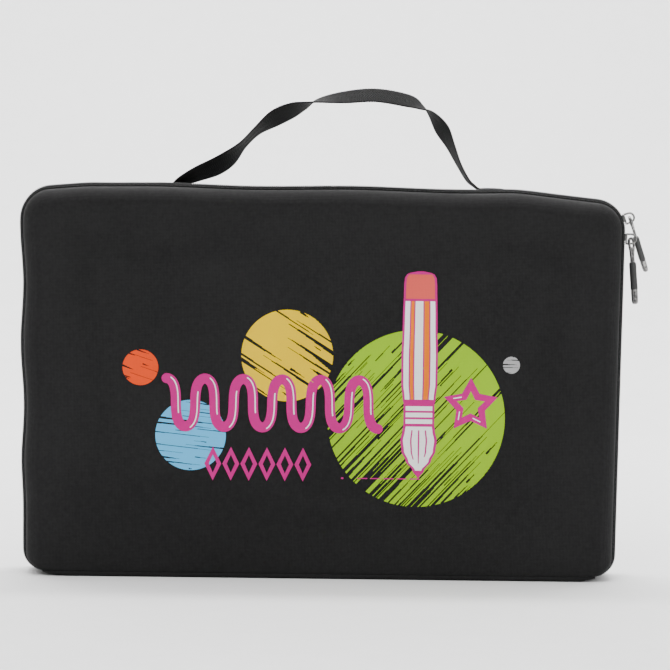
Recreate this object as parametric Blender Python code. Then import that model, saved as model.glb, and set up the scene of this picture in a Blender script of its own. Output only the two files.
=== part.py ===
"""Padded portfolio case with a two-way zip and a webbing handle, standing on its bottom gusset.

Metres, +Z up. The front faces -Y, +X is to the right seen from the front. The origin is the middle of
the bottom gusset's underside. The front cover folds forward and the back shell folds backward about the
two long edges of the gusset, so the open case lies flat.
"""

import math

import bmesh
import bpy
from mathutils import Matrix, Vector

# The outline of the zip's outer edge, clockwise seen from the front: x, z and corner radius.
CORNER_RADIUS = 0.024
BOTTOM_RADIUS = 0.017
CREST_RADIUS = 0.100
CORNERS = (
    (-0.2293, 0.0000, BOTTOM_RADIUS),
    (-0.2323, 0.2980, CORNER_RADIUS),
    (-0.1800, 0.3025, CREST_RADIUS),
    (0.1480, 0.3008, CREST_RADIUS),
    (0.2330, 0.2920, CORNER_RADIUS),
    (0.2293, 0.0000, BOTTOM_RADIUS),
)
TOP_RIGHT = 4
CORNER_STEPS = 8
CREST_STEPS = 2
SMALLEST_RADIUS = 0.002

GAP = 0.0003  # between pieces that touch
FRONT_Y = -0.0250  # front panel's face at its edge
BACK_Y = 0.0250  # back panel's face
ZIP_Y = -0.0060  # middle of the zip
SKIN = 0.0010  # thickness of the outer cloth
TAPE = 0.0006  # thickness of the zip tape
FOAM = 0.0040
LINING = 0.0006

# Bottom gusset and the two fold lines along it
SPINE_HALF_LENGTH = 0.2080
SPINE_FRONT_Y = -0.0232
SPINE_BACK_Y = 0.0237
GUSSET_CLOTH = 0.0009
BOARD = 0.0010
BOARD_MARGIN = 0.0040  # from the gusset's ends to the board's
BOARD_HALF_DEPTH = 0.0210
SPINE_LINING_MARGIN = 0.0020
SPINE_LINING_HALF_DEPTH = 0.0220
SPINE_LINING = 0.0004
FRONT_FOLD = (0.0, -0.0235, 0.0030)
BACK_FOLD = (0.0, BACK_Y, 0.0)
ZIP_HALF_END = 0.2110  # where the zip ends, beside the spine

# Front panel's rounded edge
EDGE_RADIUS = 0.0110
EDGE_INSET = 0.0036  # from the zip's outer edge to the panel's wall
EDGE_STEPS = 5
CROWN = 0.0010  # how far the middle of the face stands proud
CROWN_RINGS = ((0.045, 0.7), (0.085, 1.0))  # inset of each inner ring and its share of the crown
CROWN_BASE_DROP = 0.0100  # these rings' height above the floor is their inset less this
PANEL_BASE = 0.0033
PANEL_BASE_RISE = 0.0022

# Zip coil
COIL_THICK = 0.0016
COIL_WIDE = 0.0015
COIL_HALF_GAP = 0.0007
ZIP_BASE = 0.0020  # the zip's outer edge above the floor

# Zip tapes: each lies flat beside its coil, slopes inwards and is tucked behind the cloth it is sewn to
TAPE_INSET = 0.0005
TAPE_START = 0.0025  # from the zip's middle to the tape's edge inside the coil
FRONT_SLOPE = (0.0042, 0.0072)
BACK_SLOPE = (0.0044, 0.0076)
FRONT_TUCK_LENGTH = 0.0020
BACK_TUCK_END = 0.0130
BINDING = 0.0010
BINDING_WIDE = 0.0023

# Front and back pads and linings: inset from the zip's outer edge and height above the floor
FRONT_FOAM_PLACE = (0.0180, 0.0085)
FRONT_LINING_PLACE = (0.0085, 0.0070)
BACK_PAD_PLACE = (0.0040, 0.0040)

# Side gusset
WALL_INSET = 0.0008
WALL_BASE = -0.0004
WALL_FRONT_Y = 0.0020
BACK_PANEL_BASE = 0.0017
BACK_BINDING_WIDE = 0.0027

# Inner pocket and the tabs at the zip's ends
POCKET_HALF = 0.2050
POCKET_BASE = 0.0060
POCKET_TOP = 0.2000
POCKET_CLOTH = 0.0009
POCKET_SPACE = 0.0008  # between the pocket and the lining
POCKET_BINDING_WIDE = 0.0057
POCKET_BINDING_LAP = 0.0004
TAB_Y = (-0.0040, 0.0060)  # from the middle of the zip
TAB_Z = (0.0018, 0.0042)

# Webbing handle
WEB_WIDE = 0.0200
WEB_THICK = 0.0014
WEB_Y = 0.0135
HANDLE_AXIS = (0.0, WEB_Y, 0.3116)
LEFT_SPLIT = -0.0930
RIGHT_SPLIT = 0.1105
LEFT_ROOT = -0.1120
RIGHT_ROOT = 0.1215
TAIL = 0.0180  # sewn length beyond each root
SPLIT_GAP = 0.0014
ARCH = (
    (-0.1060, 0.3050),
    (-0.0965, 0.3100),
    (-0.0840, 0.3162),
    (-0.0735, 0.3230),
    (-0.0630, 0.3335),
    (-0.0520, 0.3450),
    (-0.0380, 0.3550),
    (-0.0150, 0.3650),
    (0.0160, 0.3712),
    (0.0400, 0.3730),
    (0.0650, 0.3690),
    (0.0805, 0.3610),
    (0.0910, 0.3480),
    (0.0985, 0.3345),
    (0.1050, 0.3205),
    (0.1120, 0.3085),
    (0.1165, 0.3042),
)

# Zip sliders, in their own frame: x out of the case, y along the case's depth, z along the zip
PLATE_HALF_LENGTH = 0.0043
OUTER_PLATE = (0.0009, 0.0019)
INNER_PLATE = (-0.0034, -0.0026)
OUTER_HALF_WIDTH = 0.0032
INNER_HALF_WIDTH = 0.0028
POST_HALF_WIDTH = 0.00035
POST_SPAN = (0.0012, 0.0038)
POST_LAP = 0.0004  # how far the post runs into each plate
CROWN_OUT = 0.0052  # the arch's centre, out from the zip's outer edge
ARCH_RADIUS = 0.0036
ARCH_STEPS = 12
WIRE_RADIUS = 0.0006
WIRE_SIDES = 10
UPPER_ANGLE = math.radians(20.0)  # where the upper slider rests on the corner, above +X
LOWER_Z = 0.2640

# Zip pulls: distances along the pull from the crown's centre
EYE_THICK = 0.0016
EYE_OUTER_RADIUS = 0.0037
EYE_OUTER_CENTRE = 0.0023
EYE_SIDE_END = 0.0040
EYE_HOLE_RADIUS = 0.0021
EYE_HOLE_CENTRES = (0.0027, 0.0046)
NECK_TOP = (0.0105, 0.0023)
NECK_END = (0.0180, 0.0020)
ROD_RADIUS = 0.0007
BORE_RADIUS = 0.0010
ROD_END = 0.0450
GRIP_SPAN = (0.0183, 0.0397)
GRIP_HALF = (0.0023, 0.0017)
TIP_SPAN = (0.0400, 0.0510)
TIP_HALF = (0.0022, 0.0016)
TIP_BORE_END = 0.0453
BORE_CLEARANCE = 0.0010  # how far a bore runs past the end it opens at
ROUND_SIDES = 12
BAR_SIDES = 20
BAR_SHOULDER = 0.08  # share of a bar's length over which its ends are drawn in
GRIP_DRAW = (0.12, 0.12)
TIP_DRAW = (0.08, 0.35)
UPPER_PULL = {"lean": 22.0, "tilt": 30.0, "twist": 0.0}
LOWER_PULL = {"lean": 3.0, "tilt": -12.0, "twist": 45.0}


def clear_scene():
    for item in list(bpy.data.objects):
        bpy.data.objects.remove(item, do_unlink=True)


def material(name, colour, roughness, metallic=0.0):
    made = bpy.data.materials.new(name)
    made.use_nodes = True
    shader = made.node_tree.nodes["Principled BSDF"]
    shader.inputs["Base Color"].default_value = (*colour, 1.0)
    shader.inputs["Roughness"].default_value = roughness
    shader.inputs["Metallic"].default_value = metallic
    made.diffuse_color = (*colour, 1.0)
    return made


def empty_at(name, place):
    made = bpy.data.objects.new(name, None)
    made.location = place
    bpy.context.scene.collection.objects.link(made)
    return made


def add_object(name, mesh, colour, parent=None, matrix=None):
    """Links the mesh as an object; its points are world points unless a matrix is given."""
    made = bpy.data.objects.new(name, mesh)
    bpy.context.scene.collection.objects.link(made)
    mesh.materials.clear()
    mesh.materials.append(colour)
    made.matrix_world = matrix or Matrix.Identity(4)
    if parent:
        bpy.context.view_layer.update()
        made.parent = parent
        made.matrix_parent_inverse = parent.matrix_world.inverted()
    return made


def mesh_from(name, bm, sharp_degrees=None):
    bmesh.ops.recalc_face_normals(bm, faces=bm.faces)
    mesh = bpy.data.meshes.new(name)
    bm.to_mesh(mesh)
    bm.free()
    if sharp_degrees:
        mesh.shade_smooth()
        mesh.set_sharp_from_angle(angle=math.radians(sharp_degrees))
    return mesh


def edge_lines(inset, base):
    """The outline's straight sides moved inwards: a point and a direction for each, bottom last."""
    lines = []
    for index, (x, z, _) in enumerate(CORNERS):
        next_x, next_z, _ = CORNERS[(index + 1) % len(CORNERS)]
        along = Vector((next_x - x, next_z - z)).normalized()
        inward = Vector((along.y, -along.x))
        distance = base if index == len(CORNERS) - 1 else inset
        lines.append((Vector((x, z)) + inward * distance, along))
    return lines


def crossing(first, second):
    """Where two lines meet, each given as a point and a direction."""
    between = second[0] - first[0]
    cross = first[1].cross(second[1])
    return first[0] + first[1] * (between.cross(second[1]) / cross)


def outline(inset, base):
    """Points of the outline at an inset from the zip's edge and a height above the floor."""
    lines = edge_lines(inset, base)
    points = []
    for index, (_, _, radius) in enumerate(CORNERS):
        before = lines[index - 1]
        after = lines[index]
        corner = crossing(before, after)
        turn = abs(before[1].angle_signed(after[1]))
        fillet = max(radius - inset, SMALLEST_RADIUS)
        start = corner - before[1] * (fillet * math.tan(turn / 2.0))
        inward = Vector((before[1].y, -before[1].x))
        centre = start + inward * fillet
        steps = CREST_STEPS if radius == CREST_RADIUS else CORNER_STEPS
        for step in range(steps + 1):
            spoke = (start - centre) @ Matrix.Rotation(turn * step / steps, 2)
            points.append(centre + spoke)
    return points


def zip_route(inset, base):
    """The outline without its bottom: from the zip's left end round to its right end."""
    ends = (Vector((-ZIP_HALF_END, base)), Vector((ZIP_HALF_END, base)))
    return [ends[0], *outline(inset, base), ends[1]]


def top_height(x, inset=0.0):
    """Height of the outline's top side at x."""
    lines = edge_lines(inset, 0.0)
    return min(point.y + along.y / along.x * (x - point.x) for point, along in lines[1:4])


def corner_centre(index):
    lines = edge_lines(CORNER_RADIUS, 0.0)
    return crossing(lines[index - 1], lines[index])


def ring_vertices(bm, points, y):
    return [bm.verts.new((point.x, y, point.y)) for point in points]


def join_rings(bm, first, second, closed):
    count = len(first)
    for index in range(count if closed else count - 1):
        after = (index + 1) % count
        bm.faces.new((first[index], first[after], second[after], second[index]))


def band(name, section, base_rise):
    """A strip that follows the zip: section holds (inset, y) pairs, base_rise is added to the inset."""
    bm = bmesh.new()
    rings = [ring_vertices(bm, zip_route(inset, inset + base_rise), y) for inset, y in section]
    for index, ring in enumerate(rings):
        join_rings(bm, ring, rings[(index + 1) % len(rings)], closed=False)
    bm.faces.new([ring[0] for ring in rings])
    bm.faces.new([ring[-1] for ring in rings])
    return mesh_from(name, bm, 40.0)


def rectangle(inset, thickness, first_y, second_y):
    return (
        (inset, first_y),
        (inset, second_y),
        (inset + thickness, second_y),
        (inset + thickness, first_y),
    )


def slab(name, inset, base, first_y, second_y):
    """A flat sheet cut to the outline."""
    bm = bmesh.new()
    points = outline(inset, base)
    front = ring_vertices(bm, points, first_y)
    back = ring_vertices(bm, points, second_y)
    join_rings(bm, front, back, closed=True)
    bm.faces.new(front)
    bm.faces.new(back)
    return mesh_from(name, bm, 40.0)


def box(name, low, high):
    bm = bmesh.new()
    bmesh.ops.create_cube(bm, size=1.0)
    for vertex in bm.verts:
        for axis in range(3):
            side = vertex.co[axis] + 0.5
            vertex.co[axis] = low[axis] + (high[axis] - low[axis]) * side
    return mesh_from(name, bm)


def panel_rings(bm, thickness):
    """The front panel's surface from its rim to its face; a thickness moves it inwards."""
    rings = []
    radius = EDGE_RADIUS - thickness
    inset_middle = EDGE_INSET + EDGE_RADIUS
    y_middle = FRONT_Y + EDGE_RADIUS
    for step in range(EDGE_STEPS + 1):
        angle = math.pi / 2.0 * step / EDGE_STEPS
        inset = inset_middle - radius * math.cos(angle)
        base = PANEL_BASE + thickness + PANEL_BASE_RISE * (1.0 - math.cos(angle))
        rings.append(ring_vertices(bm, outline(inset, base), y_middle - radius * math.sin(angle)))
    for inset, share in CROWN_RINGS:
        points = outline(inset, inset - CROWN_BASE_DROP)
        rings.append(ring_vertices(bm, points, FRONT_Y + thickness - CROWN * share))
    return rings


def front_panel_mesh():
    bm = bmesh.new()
    outer = panel_rings(bm, 0.0)
    inner = panel_rings(bm, SKIN)
    for rings in (outer, inner):
        for first, second in zip(rings, rings[1:]):
            join_rings(bm, first, second, closed=True)
        bm.faces.new(rings[-1])
    join_rings(bm, outer[0], inner[0], closed=True)
    return mesh_from("front_panel", bm, 40.0)


def make_spine(cloth, board, lining):
    half = SPINE_HALF_LENGTH
    top = GUSSET_CLOTH
    low, high = (-half, SPINE_FRONT_Y, 0.0), (half, SPINE_BACK_Y, top)
    add_object("bottom_gusset", box("bottom_gusset", low, high), cloth)
    far = half - BOARD_MARGIN
    bottom = top + GAP
    low, high = (-far, -BOARD_HALF_DEPTH, bottom), (far, BOARD_HALF_DEPTH, bottom + BOARD)
    add_object("spine_board", box("spine_board", low, high), board)
    far = half - SPINE_LINING_MARGIN
    bottom = high[2] + GAP
    low = (-far, -SPINE_LINING_HALF_DEPTH, bottom)
    high = (far, SPINE_LINING_HALF_DEPTH, bottom + SPINE_LINING)
    add_object("spine_lining", box("spine_lining", low, high), lining)


def make_front_cover(fold, cloth, foam, lining, tape, coil, binding):
    add_object("front_panel", front_panel_mesh(), cloth, fold)
    foam_y = FRONT_Y + SKIN + GAP
    foam_mesh = slab("front_foam_pad", *FRONT_FOAM_PLACE, foam_y, foam_y + FOAM)
    add_object("front_foam_pad", foam_mesh, foam, fold)
    lining_y = foam_y + FOAM + GAP
    lining_mesh = slab("front_lining", *FRONT_LINING_PLACE, lining_y, lining_y + LINING)
    add_object("front_lining", lining_mesh, lining, fold)
    slope_top = ZIP_Y - FRONT_SLOPE[0]
    slope_end = ZIP_Y - FRONT_SLOPE[1]
    tuck_end = slope_end - FRONT_TUCK_LENGTH
    tuck = EDGE_INSET + SKIN + GAP + 0.0001
    section = (
        (TAPE_INSET, ZIP_Y - TAPE_START),
        (TAPE_INSET, slope_top),
        (tuck, slope_end),
        (tuck, tuck_end),
        (tuck + TAPE, tuck_end),
        (tuck + TAPE, slope_end + GAP),
        (TAPE_INSET + TAPE, slope_top + GAP),
        (TAPE_INSET + TAPE, ZIP_Y - TAPE_START),
    )
    add_object("front_zip_tape", band("front_zip_tape", section, ZIP_BASE), tape, fold)
    near = ZIP_Y - COIL_HALF_GAP
    section = rectangle(0.0, COIL_THICK, near, near - COIL_WIDE)
    add_object("front_zip_coil", band("front_zip_coil", section, ZIP_BASE), coil, fold)
    inner = tuck + TAPE + GAP
    section = rectangle(inner, BINDING, tuck_end + BINDING_WIDE, tuck_end)
    add_object("front_seam_binding", band("front_seam_binding", section, ZIP_BASE), binding, fold)


def make_back_shell(fold, cloth, foam, lining, tape, coil, binding):
    section = rectangle(WALL_INSET, SKIN, WALL_FRONT_Y, BACK_Y - GAP)
    add_object("side_gusset", band("side_gusset", section, WALL_BASE), cloth, fold)
    panel_inset = WALL_INSET + SKIN + GAP
    panel = slab("back_panel", panel_inset, BACK_PANEL_BASE, BACK_Y - SKIN, BACK_Y)
    add_object("back_panel", panel, cloth, fold)
    foam_y = BACK_Y - SKIN - GAP
    pad = slab("back_foam_pad", *BACK_PAD_PLACE, foam_y - FOAM, foam_y)
    add_object("back_foam_pad", pad, foam, fold)
    lining_y = foam_y - FOAM - GAP
    sheet = slab("back_lining", *BACK_PAD_PLACE, lining_y - LINING, lining_y)
    add_object("back_lining", sheet, lining, fold)
    slope_top = ZIP_Y + BACK_SLOPE[0]
    slope_end = ZIP_Y + BACK_SLOPE[1]
    tuck_end = ZIP_Y + BACK_TUCK_END
    tuck = panel_inset + 0.0001
    section = (
        (TAPE_INSET, ZIP_Y + TAPE_START),
        (TAPE_INSET, slope_top),
        (tuck, slope_end),
        (tuck, tuck_end),
        (tuck + TAPE, tuck_end),
        (tuck + TAPE, slope_end - GAP),
        (TAPE_INSET + TAPE, slope_top - GAP),
        (TAPE_INSET + TAPE, ZIP_Y + TAPE_START),
    )
    add_object("back_zip_tape", band("back_zip_tape", section, ZIP_BASE), tape, fold)
    near = ZIP_Y + COIL_HALF_GAP
    section = rectangle(0.0, COIL_THICK, near, near + COIL_WIDE)
    add_object("back_zip_coil", band("back_zip_coil", section, ZIP_BASE), coil, fold)
    section = rectangle(panel_inset, BINDING, foam_y - BACK_BINDING_WIDE, foam_y)
    add_object("back_seam_binding", band("back_seam_binding", section, WALL_BASE), binding, fold)
    make_pocket(fold, lining_y - LINING - POCKET_SPACE, lining, binding)
    make_end_tabs(fold, cloth)


def make_pocket(fold, back_y, lining, binding):
    half = POCKET_HALF
    front_y = back_y - POCKET_CLOTH
    low, high = (-half, front_y, POCKET_BASE), (half, back_y, POCKET_TOP)
    add_object("inner_pocket", box("inner_pocket", low, high), lining, fold)
    bottom = POCKET_TOP + GAP
    low = (-half, front_y - POCKET_BINDING_LAP, bottom)
    high = (half, back_y + POCKET_BINDING_LAP, bottom + POCKET_BINDING_WIDE)
    add_object("pocket_binding", box("pocket_binding", low, high), binding, fold)


def make_end_tabs(fold, cloth):
    """The folded bits of cloth that close the two ends of the zip."""
    for side, sign in (("left", -1.0), ("right", 1.0)):
        name = f"zip_end_tab_{side}"
        near = sign * (SPINE_HALF_LENGTH + 0.0005)
        far = sign * (ZIP_HALF_END - GAP)
        low = (min(near, far), ZIP_Y + TAB_Y[0], TAB_Z[0])
        high = (max(near, far), ZIP_Y + TAB_Y[1], TAB_Z[1])
        add_object(name, box(name, low, high), cloth, fold)


def spline_points(points, parts):
    """A smooth curve through the points (Catmull-Rom)."""
    padded = [points[0] * 2.0 - points[1], *points, points[-1] * 2.0 - points[-2]]
    route = []
    for index in range(1, len(padded) - 2):
        p0, p1, p2, p3 = padded[index - 1 : index + 3]
        for part in range(parts):
            t = part / parts
            route.append(
                0.5
                * (
                    p1 * 2.0
                    + (p2 - p0) * t
                    + (p0 * 2.0 - p1 * 5.0 + p2 * 4.0 - p3) * t * t
                    + (p1 * 3.0 - p0 - p2 * 3.0 + p3) * t * t * t
                )
            )
    return [*route, points[-1].copy()]


def webbing_route():
    """The handle's middle line in x and z: flat left tail, the arch, flat right tail."""
    lift = WEB_THICK / 2.0 + GAP
    wall = 0.0008
    starts = (LEFT_ROOT - TAIL, LEFT_ROOT - TAIL / 2.0, LEFT_ROOT)
    ends = (RIGHT_ROOT, RIGHT_ROOT + TAIL / 2.0, RIGHT_ROOT + TAIL)
    tails = [[Vector((x, top_height(x, wall) + lift)) for x in side] for side in (starts, ends)]
    return spline_points([*tails[0], *[Vector(point) for point in ARCH], *tails[1]], 3)


def cut_route(route, low_x, high_x):
    """The stretch of the route between two values of x, with its ends on them."""
    kept = []
    for first, second in zip(route, route[1:]):
        for limit in (low_x, high_x):
            if first.x < limit < second.x:
                kept.append(first.lerp(second, (limit - first.x) / (second.x - first.x)))
        if low_x <= second.x <= high_x:
            kept.append(second)
    if route[0].x >= low_x:
        kept.insert(0, route[0])
    return kept


def ribbon(name, route):
    """Webbing with its width along the case's depth."""
    bm = bmesh.new()
    rings = []
    for index, point in enumerate(route):
        before = route[max(index - 1, 0)]
        after = route[min(index + 1, len(route) - 1)]
        along = (after - before).normalized()
        up = Vector((-along.y, along.x)) * (WEB_THICK / 2.0)
        ring = []
        for side, height in ((-1, -1), (1, -1), (1, 1), (-1, 1)):
            place = point + up * height
            ring.append(bm.verts.new((place.x, WEB_Y + side * WEB_WIDE / 2.0, place.y)))
        rings.append(ring)
    for first, second in zip(rings, rings[1:]):
        join_rings(bm, first, second, closed=True)
    bm.faces.new(rings[0])
    bm.faces.new(rings[-1])
    return mesh_from(name, bm, 40.0)


def make_handle(fold, pivot, webbing, cloth):
    route = webbing_route()
    far = 1.0
    left = cut_route(route, -far, LEFT_SPLIT)
    middle = cut_route(route, LEFT_SPLIT + SPLIT_GAP, RIGHT_SPLIT - SPLIT_GAP)
    right = cut_route(route, RIGHT_SPLIT, far)
    add_object("handle_end_left", ribbon("handle_end_left", left), webbing, fold)
    add_object("handle_end_right", ribbon("handle_end_right", right), webbing, fold)
    add_object("handle_strap", ribbon("handle_strap", middle), webbing, pivot)
    for side, root in (("left", LEFT_ROOT), ("right", RIGHT_ROOT)):
        name = f"handle_patch_{side}"
        outward = -TAIL if side == "left" else TAIL
        xs = sorted((root - outward * 0.4, root + outward))
        height = top_height((xs[0] + xs[1]) / 2.0, 0.0022)
        low, high = (xs[0], 0.0078, height - 0.0009), (xs[1], 0.0202, height)
        add_object(name, box(name, low, high), cloth, fold)


def cylinder_between(name, radius, start, end, steps):
    """A round bar along -Z, from one distance below the origin to another."""
    bm = bmesh.new()
    bmesh.ops.create_cone(
        bm,
        cap_ends=True,
        segments=steps,
        radius1=radius,
        radius2=radius,
        depth=end - start,
        matrix=Matrix.Translation((0.0, 0.0, -(start + end) / 2.0)),
    )
    return mesh_from(name, bm, 40.0)


def combine(name, first, others):
    """Joins or cuts meshes: others holds (operation, mesh) pairs. Returns the resulting mesh."""
    base = bpy.data.objects.new(name, first)
    bpy.context.scene.collection.objects.link(base)
    helpers = []
    for operation, mesh in others:
        helper = bpy.data.objects.new(f"{name}_tool", mesh)
        bpy.context.scene.collection.objects.link(helper)
        helper.hide_render = True
        helper.display_type = "WIRE"
        helpers.append(helper)
        step = base.modifiers.new(operation.lower(), "BOOLEAN")
        step.operation = operation
        step.object = helper
        step.solver = "EXACT"
    graph = bpy.context.evaluated_depsgraph_get()
    mesh = bpy.data.meshes.new_from_object(base.evaluated_get(graph), depsgraph=graph)
    mesh.name = name
    for item in (base, *helpers):
        bpy.data.objects.remove(item, do_unlink=True)
    mesh.shade_smooth()
    mesh.set_sharp_from_angle(angle=math.radians(40.0))
    return mesh


def slider_body_mesh(name):
    half = PLATE_HALF_LENGTH
    wide = OUTER_HALF_WIDTH
    low, high = (OUTER_PLATE[0], -wide, -half), (OUTER_PLATE[1], wide, half)
    outer = box(name, low, high)
    wide = INNER_HALF_WIDTH
    low, high = (INNER_PLATE[0], -wide, -half), (INNER_PLATE[1], wide, half)
    inner = box(name, low, high)
    low = (INNER_PLATE[1] - POST_LAP, -POST_HALF_WIDTH, POST_SPAN[0])
    high = (OUTER_PLATE[0] + POST_LAP, POST_HALF_WIDTH, POST_SPAN[1])
    post = box(name, low, high)
    return combine(name, outer, (("UNION", post), ("UNION", inner)))


def crown_mesh(name):
    """The wire arch that holds the pull, open towards the slider's outer plate."""
    foot = OUTER_PLATE[1] + GAP
    route = [Vector((foot, -ARCH_RADIUS))]
    for step in range(ARCH_STEPS + 1):
        angle = math.pi * (step / ARCH_STEPS - 0.5)
        reach = ARCH_RADIUS * math.cos(angle)
        route.append(Vector((CROWN_OUT + reach, ARCH_RADIUS * math.sin(angle))))
    route.append(Vector((foot, ARCH_RADIUS)))
    bm = bmesh.new()
    sides = WIRE_SIDES
    rings = []
    for index, point in enumerate(route):
        before = route[max(index - 1, 0)]
        after = route[min(index + 1, len(route) - 1)]
        along = (after - before).normalized()
        out = Vector((along.y, -along.x))
        ring = []
        for side in range(sides):
            angle = 2.0 * math.pi * side / sides
            place = point + out * (WIRE_RADIUS * math.cos(angle))
            ring.append(bm.verts.new((place.x, WIRE_RADIUS * math.sin(angle), place.y)))
        rings.append(ring)
    for first, second in zip(rings, rings[1:]):
        join_rings(bm, first, second, closed=True)
    bm.faces.new(rings[0])
    bm.faces.new(rings[-1])
    return mesh_from(name, bm, 40.0)


def prism(name, points, half_thickness):
    """A flat piece in the XZ plane, centred on Y = 0."""
    bm = bmesh.new()
    near = ring_vertices(bm, points, -half_thickness)
    far = ring_vertices(bm, points, half_thickness)
    join_rings(bm, near, far, closed=True)
    bm.faces.new(near)
    bm.faces.new(far)
    return mesh_from(name, bm, 40.0)


def half_circle(radius, centre_z, first_degrees, steps):
    """Points of a half circle in XZ, from an angle on, counter-clockwise."""
    points = []
    for step in range(steps + 1):
        angle = math.radians(first_degrees) + math.pi * step / steps
        points.append(Vector((radius * math.cos(angle), centre_z + radius * math.sin(angle))))
    return points


def eye_mesh(name):
    """The pull's metal eye with its neck and the rod inside the grip, hanging down from the origin."""
    head = half_circle(EYE_OUTER_RADIUS, -EYE_OUTER_CENTRE, 0.0, ROUND_SIDES)
    left = [Vector((-EYE_OUTER_RADIUS, -EYE_SIDE_END)), Vector((-NECK_TOP[1], -NECK_TOP[0]))]
    foot = [Vector((-NECK_END[1], -NECK_END[0])), Vector((NECK_END[1], -NECK_END[0]))]
    right = [Vector((NECK_TOP[1], -NECK_TOP[0])), Vector((EYE_OUTER_RADIUS, -EYE_SIDE_END))]
    plate = prism(name, [*head, *left, *foot, *right], EYE_THICK / 2.0)
    top = half_circle(EYE_HOLE_RADIUS, -EYE_HOLE_CENTRES[0], 0.0, ROUND_SIDES)
    bottom = half_circle(EYE_HOLE_RADIUS, -EYE_HOLE_CENTRES[1], 180.0, ROUND_SIDES)
    hole = prism(name, [*top, *bottom], EYE_THICK)
    rod = cylinder_between(name, ROD_RADIUS, NECK_END[0] - BORE_CLEARANCE, ROD_END, ROUND_SIDES)
    return combine(name, plate, (("DIFFERENCE", hole), ("UNION", rod)))


def oval_bar(name, span, half, end_round):
    """An oval bar along -Z with rounded ends: end_round gives how far each end is drawn in."""
    bm = bmesh.new()
    length = span[1] - span[0]
    rings = []
    near, far = BAR_SHOULDER, 1.0 - BAR_SHOULDER
    profile = [(0.0, 1.0 - end_round[0]), (near, 1.0), (far, 1.0), (1.0, 1.0 - end_round[1])]
    for share, size in profile:
        z = -(span[0] + length * share)
        angles = [2.0 * math.pi * side / BAR_SIDES for side in range(BAR_SIDES)]
        places = [(half[0] * size * math.cos(a), half[1] * size * math.sin(a), z) for a in angles]
        rings.append([bm.verts.new(place) for place in places])
    for first, second in zip(rings, rings[1:]):
        join_rings(bm, first, second, closed=True)
    bm.faces.new(rings[0])
    bm.faces.new(rings[-1])
    return mesh_from(name, bm, 40.0)


def grip_mesh(name):
    bar = oval_bar(name, GRIP_SPAN, GRIP_HALF, GRIP_DRAW)
    low, high = GRIP_SPAN[0] - BORE_CLEARANCE, GRIP_SPAN[1] + BORE_CLEARANCE
    bore = cylinder_between(name, BORE_RADIUS, low, high, ROUND_SIDES)
    return combine(name, bar, (("DIFFERENCE", bore),))


def tip_mesh(name):
    bar = oval_bar(name, TIP_SPAN, TIP_HALF, TIP_DRAW)
    low = TIP_SPAN[0] - BORE_CLEARANCE
    bore = cylinder_between(name, BORE_RADIUS, low, TIP_BORE_END, ROUND_SIDES)
    return combine(name, bar, (("DIFFERENCE", bore),))


def pull_matrix(centre, pose):
    """A pull's place: it leans out from the crown's centre, tilts about the wire and twists."""
    hang = Matrix.Translation(centre) @ Matrix.Rotation(-math.radians(pose["lean"]), 4, "Y")
    down = Matrix.Translation((0.0, 0.0, -ARCH_RADIUS))
    up = Matrix.Translation((0.0, 0.0, ARCH_RADIUS))
    tilt = Matrix.Rotation(math.radians(pose["tilt"]), 4, "X")
    twist = Matrix.Rotation(math.radians(90.0 - pose["twist"]), 4, "Z")
    return hang @ down @ tilt @ up @ twist


def make_slider(prefix, place, angle, pose, parent, pivot_at, nickel, rubber):
    """One slider with its crown and its pull. place is on the zip's outer edge."""
    mover = empty_at(f"{prefix}_slider_pivot", pivot_at)
    bpy.context.view_layer.update()
    mover.parent = parent
    mover.matrix_parent_inverse = parent.matrix_world.inverted()
    matrix = Matrix.Translation(place) @ Matrix.Rotation(-angle, 4, "Y")
    body = slider_body_mesh(f"{prefix}_slider_body")
    add_object(f"{prefix}_slider_body", body, nickel, mover, matrix)
    add_object(f"{prefix}_slider_crown", crown_mesh(f"{prefix}_slider_crown"), nickel, mover, matrix)
    centre = matrix @ Vector((CROWN_OUT, 0.0, 0.0))
    swing = empty_at(f"{prefix}_pull_pivot", centre)
    bpy.context.view_layer.update()
    swing.parent = mover
    swing.matrix_parent_inverse = mover.matrix_world.inverted()
    hanging = pull_matrix(centre, pose)
    parts = (("eye", eye_mesh, nickel), ("grip", grip_mesh, rubber), ("tip", tip_mesh, nickel))
    for part, maker, colour in parts:
        name = f"{prefix}_pull_{part}"
        add_object(name, maker(name), colour, swing, hanging)


def make_sliders(fold, nickel, rubber):
    lines = edge_lines(0.0, 0.0)
    point, along = lines[TOP_RIGHT]
    side_angle = math.atan2(along.x, -along.y)
    at = point + along * ((LOWER_Z - point.y) / along.y)
    place = Vector((at.x, ZIP_Y, at.y))
    make_slider("lower", place, -side_angle, LOWER_PULL, fold, place, nickel, rubber)
    middle = corner_centre(TOP_RIGHT)
    pivot = Vector((middle.x, ZIP_Y, middle.y))
    out = Vector((math.cos(UPPER_ANGLE), 0.0, math.sin(UPPER_ANGLE)))
    place = pivot + out * CORNER_RADIUS
    make_slider("upper", place, UPPER_ANGLE, UPPER_PULL, fold, pivot, nickel, rubber)


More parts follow.
